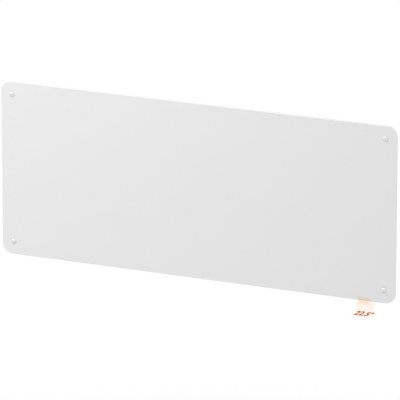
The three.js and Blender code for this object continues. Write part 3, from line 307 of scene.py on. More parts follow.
def smoothed(piece, crease=soft_crease):
    """Soft shading between faces that meet at less than the crease, flat faces kept flat."""
    join = piece.modifiers.new("points_on_one_spot_joined", "WELD")
    join.merge_threshold = same_spot
    plain(piece)
    piece.data.shade_smooth()
    piece.data.set_sharp_from_angle(angle=math.radians(crease))
    weigh = piece.modifiers.new("flat_faces_stay_flat", "WEIGHTED_NORMAL")
    weigh.keep_sharp = True
    return plain(piece)


def arcs_drawn(shape, cuts):
    """Cuts the sides of every arc round a flat face, and moves the new points out to the arc."""
    least_turn, most_turn = math.radians(5), math.radians(46)
    least_points = 6
    alike_share = 0.02
    on_the_side = 0.001 * mm
    sides = {}
    for face in shape.faces:
        points = [vert.co.copy() for vert in face.verts]
        for i, near in enumerate(points):
            j, k = (i + 1) % len(points), (i + 2) % len(points)
            first, second = points[j] - near, points[k] - points[j]
            alike = abs(first.length - second.length) < alike_share * first.length
            turned_softly = least_turn < first.angle(second, 0) < most_turn
            if len(points) >= least_points and alike and turned_softly:
                bow = second - first
                sides[face.edges[i]] = near, first, bow - bow.project(first)
                sides[face.edges[j]] = points[j], second, bow - bow.project(second)
    made = bmesh.ops.subdivide_edges(shape, edges=list(sides), cuts=cuts)
    for vert in {v for v in made["geom_inner"] if isinstance(v, bmesh.types.BMVert)}:
        for start, along, bow in sides.values():
            share = (vert.co - start).dot(along) / along.length_squared
            if 0 < share < 1 and (start + share * along - vert.co).length < on_the_side:
                vert.co += share * (share - 1) / 2 * bow
                break


def eased(node, coat, radius, steps=2, arc_cuts=0):
    """A copy of a node with the sharp edges of its solid rounded off, shown instead of it."""
    one_plane = math.radians(1)
    shape = bmesh.new()
    shape.from_mesh(frame["nodes"][node].data)
    bmesh.ops.remove_doubles(shape, verts=shape.verts, dist=same_spot)
    bmesh.ops.dissolve_limit(shape, angle_limit=one_plane, verts=shape.verts, edges=shape.edges)
    if arc_cuts:
        arcs_drawn(shape, arc_cuts)
    piece = shown(node + "_shape", mesh_of(shape, node + "_shape"), coat)
    edges = piece.modifiers.new("rounded_edges", "BEVEL")
    edges.width = radius
    edges.segments = steps
    edges.limit_method = "ANGLE"
    edges.angle_limit = math.radians(soft_crease)
    return stands_for(smoothed(plain(piece)), node)


def crystals(place, per_metre):
    """A colour for each crystal of the zinc, so many of them to the metre."""
    return place.node(
        "ShaderNodeTexVoronoi", sockets={"Vector": place, "Scale": per_metre}, out="Color",
    )


def galvanised(place):
    wander = place.node("ShaderNodeTexNoise", sockets={"Vector": place, "Scale": 240}, out="Color")
    ragged = place.vector("ADD", place, wander.drawn_out(0.004, 0.004, 0.004))
    spangle = crystals(ragged, 120).part("x")
    feather = crystals(ragged, 700).part("y")
    tone = spangle * 0.55 + feather * 0.2 + place.noise(900) * 0.25
    return {
        "Base Color": tone.blend((0.47, 0.49, 0.51, 1), (0.7, 0.71, 0.73, 1)),
        "Metallic": 1.0,
        "Roughness": 0.3 + spangle * 0.2,
        "relief": (tone, 0.02 * mm),
    }


galvanised_steel = finish("galvanised_steel", galvanised)
bars = ("bracket_crossbar_upper", "bracket_crossbar_middle")
for part in ("bracket_leg_left", "bracket_leg_right", *bars):
    eased(part, galvanised_steel, radius=0.35 * mm)


# Rivets of the bracket
# Blind aluminium rivets with domed heads, four at each crossbar and two through each spring
# catch, set from the front so that the back stays flat on the wall.
def lowest_of(node):
    """The lowest corner of a node of the frame, to the micrometre."""
    return tuple(round(edge, 6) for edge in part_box(node)[0])


def highest_of(node):
    """The highest corner of a node of the frame, to the micrometre."""
    return tuple(round(edge, 6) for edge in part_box(node)[1])


def middle_of(node):
    """The middle of a node of the frame, to the micrometre."""
    return tuple(round((low + high) / 2, 6) for low, high in zip(*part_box(node)))


def recipe(name, sizes, build):
    """A Geometry Nodes tree that stands a body on every point it gets, in a material.

    Each size is a named input. From the inputs, build makes the body and the turn it stands in.
    """
    tree = bpy.data.node_groups.new(name, "GeometryNodeTree")
    tree.interface.new_socket("Geometry", in_out="OUTPUT", socket_type="NodeSocketGeometry")
    inputs = {"Geometry": "Geometry", **sizes, "Material": "Material"}
    keys = {
        label: tree.interface.new_socket(label, in_out="INPUT", socket_type="NodeSocket" + kind).identifier
        for label, kind in inputs.items()
    }
    entry = tree.nodes.new("NodeGroupInput")
    given = {socket.name: Channel(tree, socket) for socket in entry.outputs if socket.name}
    body, turn = build(given)
    stood = body.node(
        "GeometryNodeInstanceOnPoints",
        sockets={"Points": given["Geometry"], "Instance": body, "Rotation": turn},
    )
    real = body.node("GeometryNodeRealizeInstances", sockets={"Geometry": stood})
    dressed = body.node(
        "GeometryNodeSetMaterial", sockets={"Geometry": real, "Material": given["Material"]},
    )
    body.node("NodeGroupOutput", sockets={0: dressed})
    return tree, keys


def repeated(name, made, points, **given):
    """The plain mesh that a recipe makes at points, with what its named inputs are given."""
    tree, keys = made
    mesh = bpy.data.meshes.new(name)
    mesh.from_pydata(points, [], [])
    piece = added(name, mesh)
    steps = piece.modifiers.new("recipe", "NODES")
    steps.node_group = tree
    for label, value in given.items():
        steps[keys[label]] = value
    return smoothed(plain(piece))


def faced(given):
    """The turn that stands a body up along the input that says which way it faces."""
    facing = given["Facing"]
    return facing.node("FunctionNodeAlignRotationToVector", {"axis": "Z"}, {"Vector": facing})


def domed_head(given, sides, rings):
    """A ball pressed flat to the radius and the height of a head."""
    radius, height = given["Radius"], given["Height"]
    ball = radius.node(
        "GeometryNodeMeshUVSphere", sockets={"Segments": sides, "Rings": rings, "Radius": 1.0},
    )
    size = radius.xyz(radius, radius, height)
    return ball.node("GeometryNodeTransform", sockets={"Geometry": ball, "Scale": size})


def rivet(given):
    return domed_head(given, sides=20, rings=12), faced(given)


def bare_aluminium(place):
    scuff = place.noise(600, 4.0)
    return {
        "Base Color": scuff.blend((0.66, 0.67, 0.68, 1), (0.8, 0.8, 0.81, 1)),
        "Metallic": 1.0,
        "Roughness": 0.24 + scuff * 0.22,
        "relief": (scuff, 0.01 * mm),
    }


rivets = recipe("rivets", {"Radius": "Float", "Height": "Float", "Facing": "Vector"}, rivet)
rivet_aluminium = finish("rivet_aluminium", bare_aluminium)
rivet_inset = 5 * mm
rivet_x = middle_of("bracket_leg_right")[0] - rivet_inset
rivet_rise = 8 * mm
rivet_lift = 0.1 * mm
bar_rivets = repeated(
    "bracket_rivets",
    rivets,
    [
        (side * rivet_x, lowest_of(bar)[1] - rivet_lift, middle_of(bar)[2] + up * rivet_rise)
        for side in (-1, 1) for bar in bars for up in (-1, 1)
    ],
    Radius=3.1 * mm,
    Height=1.1 * mm,
    Facing=(0, -1, 0),
    Material=rivet_aluminium,
)
fitted(bar_rivets, "wall_bracket")


# Spring catches of the bracket
# A strip of 0.8 mm spring steel is riveted to the foot of each leg. Its blunt nose snaps into
# a slot in the rear panel and its tail is the grip that frees it.
def spring_steel(place):
    rolled = place.drawn_out(30, 900, 900).noise(1.0, 3.0)
    heat = place.noise(60)
    return {
        "Base Color": (rolled * 0.6 + heat * 0.4).blend((0.5, 0.5, 0.51, 1), (0.74, 0.73, 0.71, 1)),
        "Metallic": 1.0,
        "Roughness": 0.2 + rolled * 0.18,
        "relief": (rolled, 0.006 * mm),
    }


catch_steel = finish("catch_steel", spring_steel)
strip_thick = 0.8 * mm
catch_rivet_places = []
for catch in ("bracket_catch_left", "bracket_catch_right"):
    eased(catch, catch_steel, radius=0.15 * mm)
    _, strip_back, strip_top = highest_of(catch)
    for below_top in (5 * mm, 15 * mm):
        catch_rivet_places.append(
            (middle_of(catch)[0], strip_back - strip_thick - rivet_lift, strip_top - below_top)
        )
catch_rivets = repeated(
    "catch_rivets",
    rivets,
    catch_rivet_places,
    Radius=2.4 * mm,
    Height=0.9 * mm,
    Facing=(0, -1, 0),
    Material=rivet_aluminium,
)
fitted(catch_rivets, "wall_bracket")


# Rear panel
# A 1.2 mm steel sheet with two pressed stiffening beads, slots for the hooks and the catches,
# and white powder coat. Cross-head screws hold it to the end caps.
def powder_coat(place):
    peel = place.noise(520)
    cloud = place.noise(11, 3.0)
    return {
        "Base Color": cloud.blend((0.775, 0.775, 0.765, 1), (0.815, 0.815, 0.806, 1)),
        "Roughness": 0.4 + peel * 0.14,
        "relief": (peel, 0.05 * mm),
    }


def zinc_plate(place):
    haze = place.noise(150, 3.0)
    grain = place.noise(1400)
    return {
        "Base Color": haze.blend((0.58, 0.6, 0.64, 1), (0.74, 0.75, 0.77, 1)),
        "Metallic": 1.0,
        "Roughness": 0.26 + grain * 0.16,
        "relief": (grain, 0.008 * mm),
    }


def cross_head(given):
    """A domed head with the two arms of a cross cut into it."""
    head = domed_head(given, sides=24, rings=14)
    depth = given["Height"] * 1.1
    long, narrow = given["Cross"], given["Cross"] * 0.24
    for wide, deep in ((long, narrow), (narrow, long)):
        size = depth.xyz(wide, deep, depth)
        arm = size.node("GeometryNodeMeshCube", sockets={"Size": size})
        arm = arm.node(
            "GeometryNodeTransform", sockets={"Geometry": arm, "Translation": arm.xyz(z=given["Height"])},
        )
        head = head.node(
            "GeometryNodeMeshBoolean",
            {"operation": "DIFFERENCE", "solver": "MANIFOLD"},
            {"Mesh 1": head, "Mesh 2": arm},
        )
    return head, faced(given)


white_powder = finish("white_powder_coat", powder_coat)
eased("rear_panel", white_powder, radius=0.3 * mm)

screw_sizes = {"Radius": "Float", "Height": "Float", "Cross": "Float", "Facing": "Vector"}
cross_head_screws = recipe("cross_head_screws", screw_sizes, cross_head)
zinc_steel = finish("zinc_plated_steel", zinc_plate)
panel_side, panel_back, _ = highest_of("rear_panel")
screw_inset = 7.5 * mm
screw_lift = 0.2 * mm
panel_screws = repeated(
    "rear_panel_screws",
    cross_head_screws,
    [
        (side * (panel_side - screw_inset), panel_back + screw_lift, height * mm)
        for side in (-1, 1) for height in (-128, -72, 0, 72, 128)
    ],
    Radius=3.4 * mm,
    Height=1.9 * mm,
    Cross=3.8 * mm,
    Facing=(0, 1, 0),
    Material=zinc_steel,
)
fitted(panel_screws, "heater")


# Wall buffers
# Two turned rubber feet are pulled through holes at the foot of the rear panel and keep the
# heater level against the wall. Each has two grip grooves.
def turned(name, coat, profile, centre, facing, sides=56):
    """A round solid from (radius, height) pairs, turned about a line through its centre."""
    shape = bmesh.new()
    spin = Vector(facing).to_track_quat("Z", "Y")
    closed = profile[0][0] > 0
    rings = []
    for radius, height in profile:
        count = sides if radius > 0 else 1
        rings.append([
            shape.verts.new(Vector(centre) + spin @ Vector((
                radius * math.cos(math.tau * i / count),
                radius * math.sin(math.tau * i / count),
                height,
            )))
            for i in range(count)
        ])
    for near, far in zip(rings, rings[1:] + rings[:1] if closed else rings[1:]):
        for i in range(sides):
            corners = [
                near[i % len(near)], near[(i + 1) % len(near)],
                far[(i + 1) % len(far)], far[i % len(far)],
            ]
            corners = list(dict.fromkeys(corners))
            if len(corners) > 2:
                shape.faces.new(corners)
    bmesh.ops.recalc_face_normals(shape, faces=shape.faces)
    return smoothed(shown(name, mesh_of(shape, name), coat))


def in_metres(profile):
    """A profile that is written in millimetres, in the unit of the scene."""
    return [(radius * mm, height * mm) for radius, height in profile]


def rounded(corners, radius, steps=4):
    """A profile whose inner corners are rounded off, by less where its sides are short."""
    most_share = 0.45
    path = [corners[0]]
    for before, here, after in zip(corners, corners[1:], corners[2:]):
        here, reach = Vector(here), min(radius, *(
            (Vector(other) - Vector(here)).length * most_share for other in (before, after)
        ))
        start = here + (Vector(before) - here).normalized() * reach
        end = here + (Vector(after) - here).normalized() * reach
        for i in range(steps + 1):
            t = i / steps
            path.append(tuple(start.lerp(here, t).lerp(here.lerp(end, t), t)))
    path.append(corners[-1])
    return path


def soft_rubber(place):
    bloom = place.noise(260, 3.0)
    return {
        "Base Color": bloom.blend((0.03, 0.03, 0.032, 1), (0.055, 0.055, 0.057, 1)),
        "Roughness": 0.62 + bloom * 0.2,
        "relief": (bloom, 0.04 * mm),
    }


buffer_rubber = finish("buffer_rubber", soft_rubber)
buffer_profile = [
    (0, 0.3), (5.2, 0.3), (7, 2.1), (7, 8), (6.3, 8.7), (6.3, 9.6), (7, 10.3), (7, 14), (6.3, 14.7),
    (6.3, 15.6), (7, 16.3), (7, 22), (3.5, 22), (3.5, 23.8), (5, 23.8), (3.5, 26.8), (0, 26.8),
]
buffer_shape = rounded(in_metres(buffer_profile), radius=0.5 * mm, steps=3)
for foot in ("wall_buffer_left", "wall_buffer_right"):
    x, _, z = middle_of(foot)
    stands_for(turned(f"{foot}_shape", buffer_rubber, buffer_shape, (x, 0, z), (0, -1, 0)), foot)


# End caps
# White moulded covers close both ends of the casing. Their skin has the fine matt grain of a
# spark-eroded mould, and the right one has the cut-out for the power switch.
def moulded_white(place):
    grain = place.noise(2300)
    flow = place.noise(14, 3.0)
    return {
        "Base Color": flow.blend((0.765, 0.765, 0.752, 1), (0.8, 0.8, 0.788, 1)),
        "Roughness": 0.44 + grain * 0.16,
        "relief": (grain, 0.03 * mm),
    }


white_moulding = finish("white_moulding", moulded_white)
for cap in ("end_cap_left", "end_cap_right"):
    eased(cap, white_moulding, radius=0.6 * mm, steps=3)


# Heat shield and thermal cut-out
# A thin bright aluminium sheet stands off the rear panel on its folded edges and sends the
# element's heat forwards. A disc thermostat sits on it above the element.
def coated(node, coat):
    """A node whose own shape is right, with its finish."""
    mesh = frame["nodes"][node].data
    if not mesh.materials:
        mesh.materials.append(coat)
    for place in frame["nodes"][node].material_slots:
        place.material = coat


def rolled_aluminium(place):
    rolled = place.drawn_out(8, 400, 400).noise(1.0, 3.0)
    dull = place.noise(24)
    return {
        "Base Color": (rolled * 0.5 + dull * 0.5).blend((0.62, 0.63, 0.64, 1), (0.82, 0.82, 0.83, 1)),
        "Metallic": 1.0,
        "Roughness": 0.22 + rolled * 0.2,
        "relief": (rolled, 0.01 * mm),
    }


def moulded_black(place):
    grain = place.noise(1900)
    return {
        "Base Color": grain.blend((0.022, 0.022, 0.024, 1), (0.038, 0.038, 0.04, 1)),
        "Roughness": 0.42 + grain * 0.2,
        "relief": (grain, 0.03 * mm),
    }


black_moulding = finish("black_moulding", moulded_black)
coated("heat_shield", finish("sheet_aluminium", rolled_aluminium))
eased("thermal_cutout", black_moulding, radius=0.25 * mm)


# Heating element
# An extruded aluminium body with a comb of fins on both sides is pressed over a sheathed
# heating rod. The rod rests at each end in a folded steel ear on the chassis.
def extruded_aluminium(place):
    die_lines = place.drawn_out(1.5, 700, 700).noise(1.0, 4.0)
    heat = place.noise(18, 3.0)
    return {
        "Base Color": (die_lines * 0.5 + heat * 0.5).blend((0.5, 0.5, 0.51, 1), (0.72, 0.72, 0.72, 1)),
        "Metallic": 1.0,
        "Roughness": 0.34 + die_lines * 0.2,
        "relief": (die_lines, 0.02 * mm),
    }


def annealed_sheath(place):
    scale = place.drawn_out(12, 120, 120).noise(1.0, 4.0)
    return {
        "Base Color": scale.blend((0.2, 0.15, 0.11, 1), (0.44, 0.38, 0.31, 1)),
        "Metallic": 1.0,
        "Roughness": 0.36 + scale * 0.2,
        "relief": (scale, 0.01 * mm),
    }


coated("heating_element", finish("extruded_aluminium", extruded_aluminium))
coated("heating_rod", finish("annealed_sheath", annealed_sheath))
for ear in ("element_hanger_left", "element_hanger_right"):
    eased(ear, zinc_steel, radius=0.2 * mm)


# Control housing, its boards and its leads
# A black moulded box at the right-hand end holds the control board with its relay and power
# supply. Two leads in heat-proof sleeving come from the element's pins.
def solder_mask(place):
    upright = place.node(
        "ShaderNodeVectorRotate", sockets={"Vector": place, "Axis": (1, 0, 0), "Angle": math.pi / 2},
    )
    tracks = upright.node("ShaderNodeTexBrick", sockets={
        "Vector": upright,
        "Color1": (0.02, 0.11, 0.05, 1),
        "Color2": (0.025, 0.14, 0.06, 1),
        "Mortar": (0.04, 0.22, 0.09, 1),
        "Scale": 110,
        "Mortar Size": 0.05,
    })
    return {"Base Color": tracks, "Roughness": 0.24 + place.noise(300) * 0.16}


def braided_sleeve(place):
    weave = place.node(
        "ShaderNodeTexWave",
        {"bands_direction": "DIAGONAL"},
        {"Vector": place, "Scale": 420, "Distortion": 1.5},
    )
    return {
        "Base Color": weave.blend((0.1, 0.095, 0.085, 1), (0.2, 0.19, 0.17, 1)),
        "Roughness": 0.7 + weave * 0.15,
        "relief": (weave, 0.08 * mm),
    }


green_board = finish("green_board", solder_mask)
sleeving = finish("braided_sleeving", braided_sleeve)
for shell in ("control_housing", "control_cover"):
    coated(shell, black_moulding)
for board in ("control_board", "button_board", "projector_led_board"):
    coated(board, green_board)
for box in ("power_relay", "power_supply"):
    eased(box, black_moulding, radius=0.5 * mm)
for lead in ("element_lead_live", "element_lead_neutral"):
    coated(lead, sleeving)


# Service plate and terminal block
# A white moulded plate, held by six small cross-head screws, fills the floor of the casing
# beside the inlet grille. The mains terminal block stands on it inside.
eased("service_plate", white_moulding, radius=0.5 * mm, steps=3)
eased("terminal_block", white_moulding, radius=0.3 * mm)
plate_under = lowest_of("service_plate")[2]
screw_sink = 0.2 * mm
plate_screws = repeated(
    "service_plate_screws",
    cross_head_screws,
    [
        (across * mm, -depth * mm, plate_under + screw_sink)
        for across in (205.5, 275, 341) for depth in (26, 61)
    ],
    Radius=2.6 * mm,
    Height=1.1 * mm,
    Cross=2.9 * mm,
    Facing=(0, 0, -1),
    Material=zinc_steel,
)
fitted(plate_screws, "heater")


# Cable gland
# A black nylon gland is screwed through the service plate from below, with a six-sided body.
# The domed cap nut on it has fine grip ribs, and its mouth holds a rubber seal.
def foot_of(node):
    """The middle of a node's underside."""
    x, y, _ = middle_of(node)
    return x, y, lowest_of(node)[2]


def ring_of_ribs(given):
    """Square bars round a circle, each with a side turned outwards."""
    count, rib = given["Count"], given["Rib"]
    circle = count.node(
        "GeometryNodeMeshCircle", sockets={"Vertices": count, "Radius": given["Radius"]},
    )
    size = rib.xyz(rib, rib, given["Length"])
    bar = size.node("GeometryNodeMeshCube", sockets={"Size": size})
    outwards = circle.node(
        "FunctionNodeAlignRotationToVector",
        {"axis": "X"},
        {"Vector": circle.node("GeometryNodeInputPosition")},
    )
    ring = circle.node(
        "GeometryNodeInstanceOnPoints",
        sockets={"Points": circle, "Instance": bar, "Rotation": outwards},
    )
    return ring, faced(given)


rib_sizes = {"Radius": "Float", "Length": "Float", "Rib": "Float", "Count": "Int", "Facing": "Vector"}
grip_ribs = recipe("grip_ribs", rib_sizes, ring_of_ribs)
eased("cable_gland", black_moulding, radius=0.4 * mm, steps=3, arc_cuts=2)
gland_x, gland_y, gland_foot = foot_of("cable_gland")
rib_rise = 5.2 * mm
seal_rise = 0.4 * mm
gland_ribs = repeated(
    "gland_grip_ribs",
    grip_ribs,
    [(gland_x, gland_y, gland_foot + rib_rise)],
    Radius=8.8 * mm,
    Length=4.6 * mm,
    Rib=0.8 * mm,
    Count=28,
    Facing=(0, 0, 1),
    Material=black_moulding,
)
fitted(gland_ribs, "heater")
gland_seal = turned(
    "gland_seal",
    buffer_rubber,
    in_metres([(2.6, 0), (4.1, 0), (4.1, 9), (2.6, 9)]),
    (gland_x, gland_y, gland_foot + seal_rise),
    (0, 0, 1),
    sides=40,
)
fitted(gland_seal, "heater")


# Room sensor and its cage
# A bead thermistor hangs in a small windowed cage under the floor, where room air reaches it
# before the element warms it.
eased("sensor_holder", white_moulding, radius=0.25 * mm)
coated("room_sensor", black_moulding)


# Projector
# A black barrel in the floor holds a lamp, a numeral display and a lens, and throws the set
# temperature downwards.
def clear_glass(place):
    smear = place.noise(80)
    return {
        "Base Color": (0.93, 0.96, 0.98, 1),
        "Transmission Weight": 1.0,
        "IOR": 1.5,
        "Roughness": 0.02 + smear * 0.05,
    }


def numeral_display(place):
    haze = place.noise(500)
    return {
        "Base Color": haze.blend((0.02, 0.012, 0.01, 1), (0.05, 0.025, 0.018, 1)),
        "Roughness": 0.2 + haze * 0.1,
        "Emission Color": (1.0, 0.36, 0.14, 1),
        "Emission Strength": 0.35,
    }


eased("projector_housing", black_moulding, radius=0.3 * mm, arc_cuts=2)
coated("projector_display", finish("numeral_display", numeral_display))
lens_profile = [(0, 0), (5.3, 0), (5.3, 2.6), (4.6, 3.1), (3.4, 3.6), (1.8, 3.9), (0, 4.0)]
lens = turned(
    "projector_lens_shape",
    finish("lens_glass", clear_glass),
    rounded(in_metres(lens_profile), radius=0.3 * mm),
    foot_of("projector_lens"),
    (0, 0, 1),
)
stands_for(lens, "projector_lens")


# Louvred grilles
# Pressed steel frames in the top and the bottom of the casing carry long round-nosed blades.
# The outlet's lean forwards to throw the warm air into the room. The cross ribs that join the
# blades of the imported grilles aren't drawn here.
def corner_path(width, height, radius, steps=6):
    """Points round a rectangle with rounded corners."""
    points = []
    for corner, (side_x, side_y) in enumerate(((1, -1), (1, 1), (-1, 1), (-1, -1))):
        for i in range(steps + 1):
            angle = (corner - 1 + i / steps) * math.pi / 2
            points.append((
                side_x * (width / 2 - radius) + radius * math.cos(angle),
                side_y * (height / 2 - radius) + radius * math.sin(angle),
            ))
    return points


def lofted(name, rings, *coats, closed=False):
    """A skin over rings that have as many points each, capped where it isn't closed."""
    shape = bmesh.new()
    loops = [[shape.verts.new(point) for point in ring] for ring in rings]
    for near, far in zip(loops, loops[1:] + loops[:1] if closed else loops[1:]):
        for i, corner in enumerate(near):
            j = (i + 1) % len(near)
            shape.faces.new((corner, near[j], far[j], far[i]))
    if not closed:
        shape.faces.new(loops[0])
        shape.faces.new(loops[-1])
    bmesh.ops.recalc_face_normals(shape, faces=shape.faces)
    return shown(name, mesh_of(shape, name), *coats)


def slat(given):
    """A long blade with two round noses, leaning about its length."""
    half_length, thickness = given["Length"] / 2, given["Thickness"]
    line = half_length.node("GeometryNodeCurvePrimitiveLine", sockets={
        "Start": half_length.xyz(-1 * half_length), "End": half_length.xyz(half_length),
    })
    nose = thickness.node(
        "GeometryNodeCurvePrimitiveCircle", sockets={"Resolution": 16, "Radius": thickness / 2},
    )
    nose_y = nose.node("GeometryNodeInputPosition").part("y")
    side = nose_y.sum("SIGN", nose_y)
    shift = side.xyz(y=side * (given["Height"] - thickness) / 2)
    section = nose.node("GeometryNodeSetPosition", sockets={"Geometry": nose, "Offset": shift})
    body = line.node(
        "GeometryNodeCurveToMesh", sockets={"Curve": line, "Profile Curve": section, "Fill Caps": True},
    )
    return body, body.xyz(given["Tilt"])


slat_sizes = {"Length": "Float", "Height": "Float", "Thickness": "Float", "Tilt": "Float"}
slats = recipe("slats", slat_sizes, slat)
casing_back = -highest_of("top_grille")[1]
casing_front = -lowest_of("top_grille")[1]
casing_middle = (casing_back + casing_front) / 2
casing_top = highest_of("top_grille")[2]


def louvred(node, up, tilt):
    """A grille's frame with its skirt, and its blades, in the top or the bottom of the casing."""
    rail = 5 * mm
    skirt_wall = 1.5 * mm
    skirt_drop = 9.5 * mm
    plate_thick = 3 * mm
    edge_round = 0.5 * mm
    outer_corner = 0.3 * mm
    inner_corner = 2 * mm
    blade_height = 8.6 * mm
    blade_thick = 1.6 * mm
    blade_sink = 0.5 * mm
    blade_count = 5
    left, right = lowest_of(node)[0], highest_of(node)[0]
    middle, face = (left + right) / 2, up * casing_top
    length, depth = right - left, casing_front - casing_back
    open_length, open_depth = length - 2 * rail, depth - 2 * rail

    def ring(wide, deep, drop):
        inner = inner_corner + (wide - open_length) / 2
        corner = outer_corner if wide > length - 3 * edge_round else inner
        return [
            (middle + x, -casing_middle + y, face - up * drop)
            for x, y in corner_path(wide, deep, corner)
        ]

    section = [
        (length, depth, plate_thick - edge_round), (length, depth, edge_round),
        (length - edge_round, depth - edge_round, 0.15 * edge_round),
        (length - 2 * edge_round, depth - 2 * edge_round, 0),
        (open_length + 3 * edge_round, open_depth + 3 * edge_round, 0),
        (open_length + edge_round, open_depth + edge_round, 0.4 * edge_round),
        (open_length, open_depth, 1.5 * edge_round), (open_length, open_depth, skirt_drop),
        (open_length + 2 * skirt_wall, open_depth + 2 * skirt_wall, skirt_drop),
        (open_length + 2 * skirt_wall, open_depth + 2 * skirt_wall, plate_thick),
        (length - 2 * edge_round, depth - 2 * edge_round, plate_thick),
    ]
    rings = [ring(*sizes) for sizes in section]
    stands_for(smoothed(lofted(f"{node}_frame", rings, white_powder, closed=True)), node)
    pitch = open_depth / (blade_count + 1)
    first_y = -casing_middle - open_depth / 2
    blade_z = face - up * (blade_sink + blade_height / 2)
    blades = repeated(
        f"{node}_blades",
        slats,
        [(middle, first_y + (i + 1) * pitch, blade_z) for i in range(blade_count)],
        Length=open_length + skirt_wall,
        Height=blade_height,
        Thickness=blade_thick,
        Tilt=math.radians(tilt),
        Material=white_powder,
    )
    fitted(blades, "heater")


louvred("top_grille", up=1, tilt=24)
louvred("bottom_grille", up=-1, tilt=0)


# Control fascia and buttons
# A white moulded plate in the top right of the casing has three sprung buttons with dished
# tops. A minus, a plus and a standby sign are printed in grey on them.
from mathutils.bvhtree import BVHTree

eased("control_fascia", white_moulding, radius=0.4 * mm, steps=3)


def grey_ink(place):
    screen = place.noise(3000)
    return {
        "Base Color": screen.blend((0.13, 0.135, 0.14, 1), (0.2, 0.205, 0.21, 1)),
        "Roughness": 0.4 + screen * 0.2,
    }


mark_ink = finish("grey_ink", grey_ink)


def stroke(*points, closed=False):
    """The middle line of a printed stroke, with points close together. Millimetres."""
    apart = 0.5
    ends = list(points) + ([points[0]] if closed else [])
    line = []
    for near, far in zip(ends, ends[1:]):
        steps = max(1, round(math.dist(near, far) / apart))
        line += [tuple(n + (f - n) * i / steps for n, f in zip(near, far)) for i in range(steps)]
    return line + ([] if closed else [points[-1]]), closed


def arc(radius, start, end, steps=36):
    """Points on a circle, from one angle clockwise from the top to another."""
    angles = [math.radians(start + (end - start) * i / steps) for i in range(steps + 1)]
    return [(radius * math.sin(a), radius * math.cos(a)) for a in angles]


def printed(name, piece, strokes, centre, right, up, width=0.75):
    """Strokes of ink laid on the surface of a piece, moving with it."""
    ink_lift = 0.05 * mm
    ink_thick = 0.08 * mm
    well_above = 20 * mm
    right, up, centre = Vector(right), Vector(up), Vector(centre)
    outward = right.cross(up)
    ground = BVHTree.FromPolygons(
        [vertex.co for vertex in piece.data.vertices],
        [tuple(face.vertices) for face in piece.data.polygons],
    )
    shape = bmesh.new()
    for line, closed in strokes:
        pairs = []
        for i, point in enumerate(line):
            near = line[i - 1] if i or closed else point
            far = line[(i + 1) % len(line)] if i + 1 < len(line) or closed else point
            along = (Vector(far) - Vector(near)).normalized()
            pair = []
            for side in (-0.5, 0.5):
                u = (point[0] - along.y * width * side) * mm
                v = (point[1] + along.x * width * side) * mm
                above = centre + u * right + v * up + well_above * outward
                hit = ground.ray_cast(above, -outward)[0]
                pair.append(shape.verts.new(hit + ink_lift * outward))
            pairs.append(pair)
        for here, there in zip(pairs, pairs[1:] + pairs[:1] if closed else pairs[1:]):
            shape.faces.new((here[0], there[0], there[1], here[1]))
    bmesh.ops.recalc_face_normals(shape, faces=shape.faces)
    shape.normal_update()
    if sum((face.normal for face in shape.faces), Vector()).dot(outward) < 0:
        bmesh.ops.reverse_faces(shape, faces=shape.faces)
    ink = shown(name, mesh_of(shape, name), mark_ink)
    film = ink.modifiers.new("ink_film", "SOLIDIFY")
    film.thickness = ink_thick
    film.offset = -1
    return plain(ink)


def dished(node):
    """A push button with its stem, its lip and a smooth dished top."""
    wide, deep, corner = 15 * mm, 9 * mm, 2.5 * mm
    lip = 1.2 * mm
    stem_wide, stem_long = 4 * mm, 3 * mm
    edge, edge_steps = 0.45 * mm, 4
    dish_radius, dish_depth = 5.5 * mm, 0.5 * mm
    middle, _, _ = middle_of(node)
    top = highest_of(node)[2]
    under = lowest_of(node)[2] + stem_long

    def ring(width, depth, corner_radius, height, sunk=0.0):
        return [
            (
                middle + x,
                -casing_middle + y,
                height - sunk * max(0, 1 - (x * x + y * y) / dish_radius ** 2),
            )
            for x, y in corner_path(width, depth, corner_radius)
        ]

    lip_sizes = wide + 2 * lip, deep + 2 * lip, corner + lip
    rings = [
        ring(stem_wide, stem_wide, stem_wide / 2, under - stem_long),
        ring(stem_wide, stem_wide, stem_wide / 2, under),
        ring(*lip_sizes, under),
        ring(*lip_sizes, under + lip),
        ring(wide, deep, corner, under + lip),
    ]
    for i in range(edge_steps + 1):
        turn = math.pi / 2 * i / edge_steps
        inset = 2 * edge * (1 - math.cos(turn))
        height = top - edge * (1 - math.sin(turn))
        rings.append(ring(wide - inset, deep - inset, corner - inset / 2, height, dish_depth))
    top_sizes = wide - 2 * edge, deep - 2 * edge, corner - edge
    for share in (0.9, 0.75, 0.6, 0.45, 0.3, 0.15, 0.03):
        rings.append(ring(*(size * share for size in top_sizes), top, dish_depth))
    return stands_for(smoothed(lofted(f"{node}_shape", rings, white_moulding)), node)


button_marks = {
    "button_minus": [stroke((-2.2, 0), (2.2, 0))],
    "button_plus": [
        stroke((-2.2, 0), (2.2, 0)), stroke((0, 0.4), (0, 2.2)), stroke((0, -0.4), (0, -2.2)),
    ],
    "button_mode": [stroke(*arc(2.1, 35, 325)), stroke((0, 0.7), (0, 2.7))],
}
for button, marks in button_marks.items():
    mark_place = (middle_of(button)[0], -casing_middle, highest_of(button)[2])
    ink = printed(f"{button}_mark", dished(button), marks, mark_place, (1, 0, 0), (0, 1, 0))
    fitted(ink, frame["nodes"][button]["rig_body"])


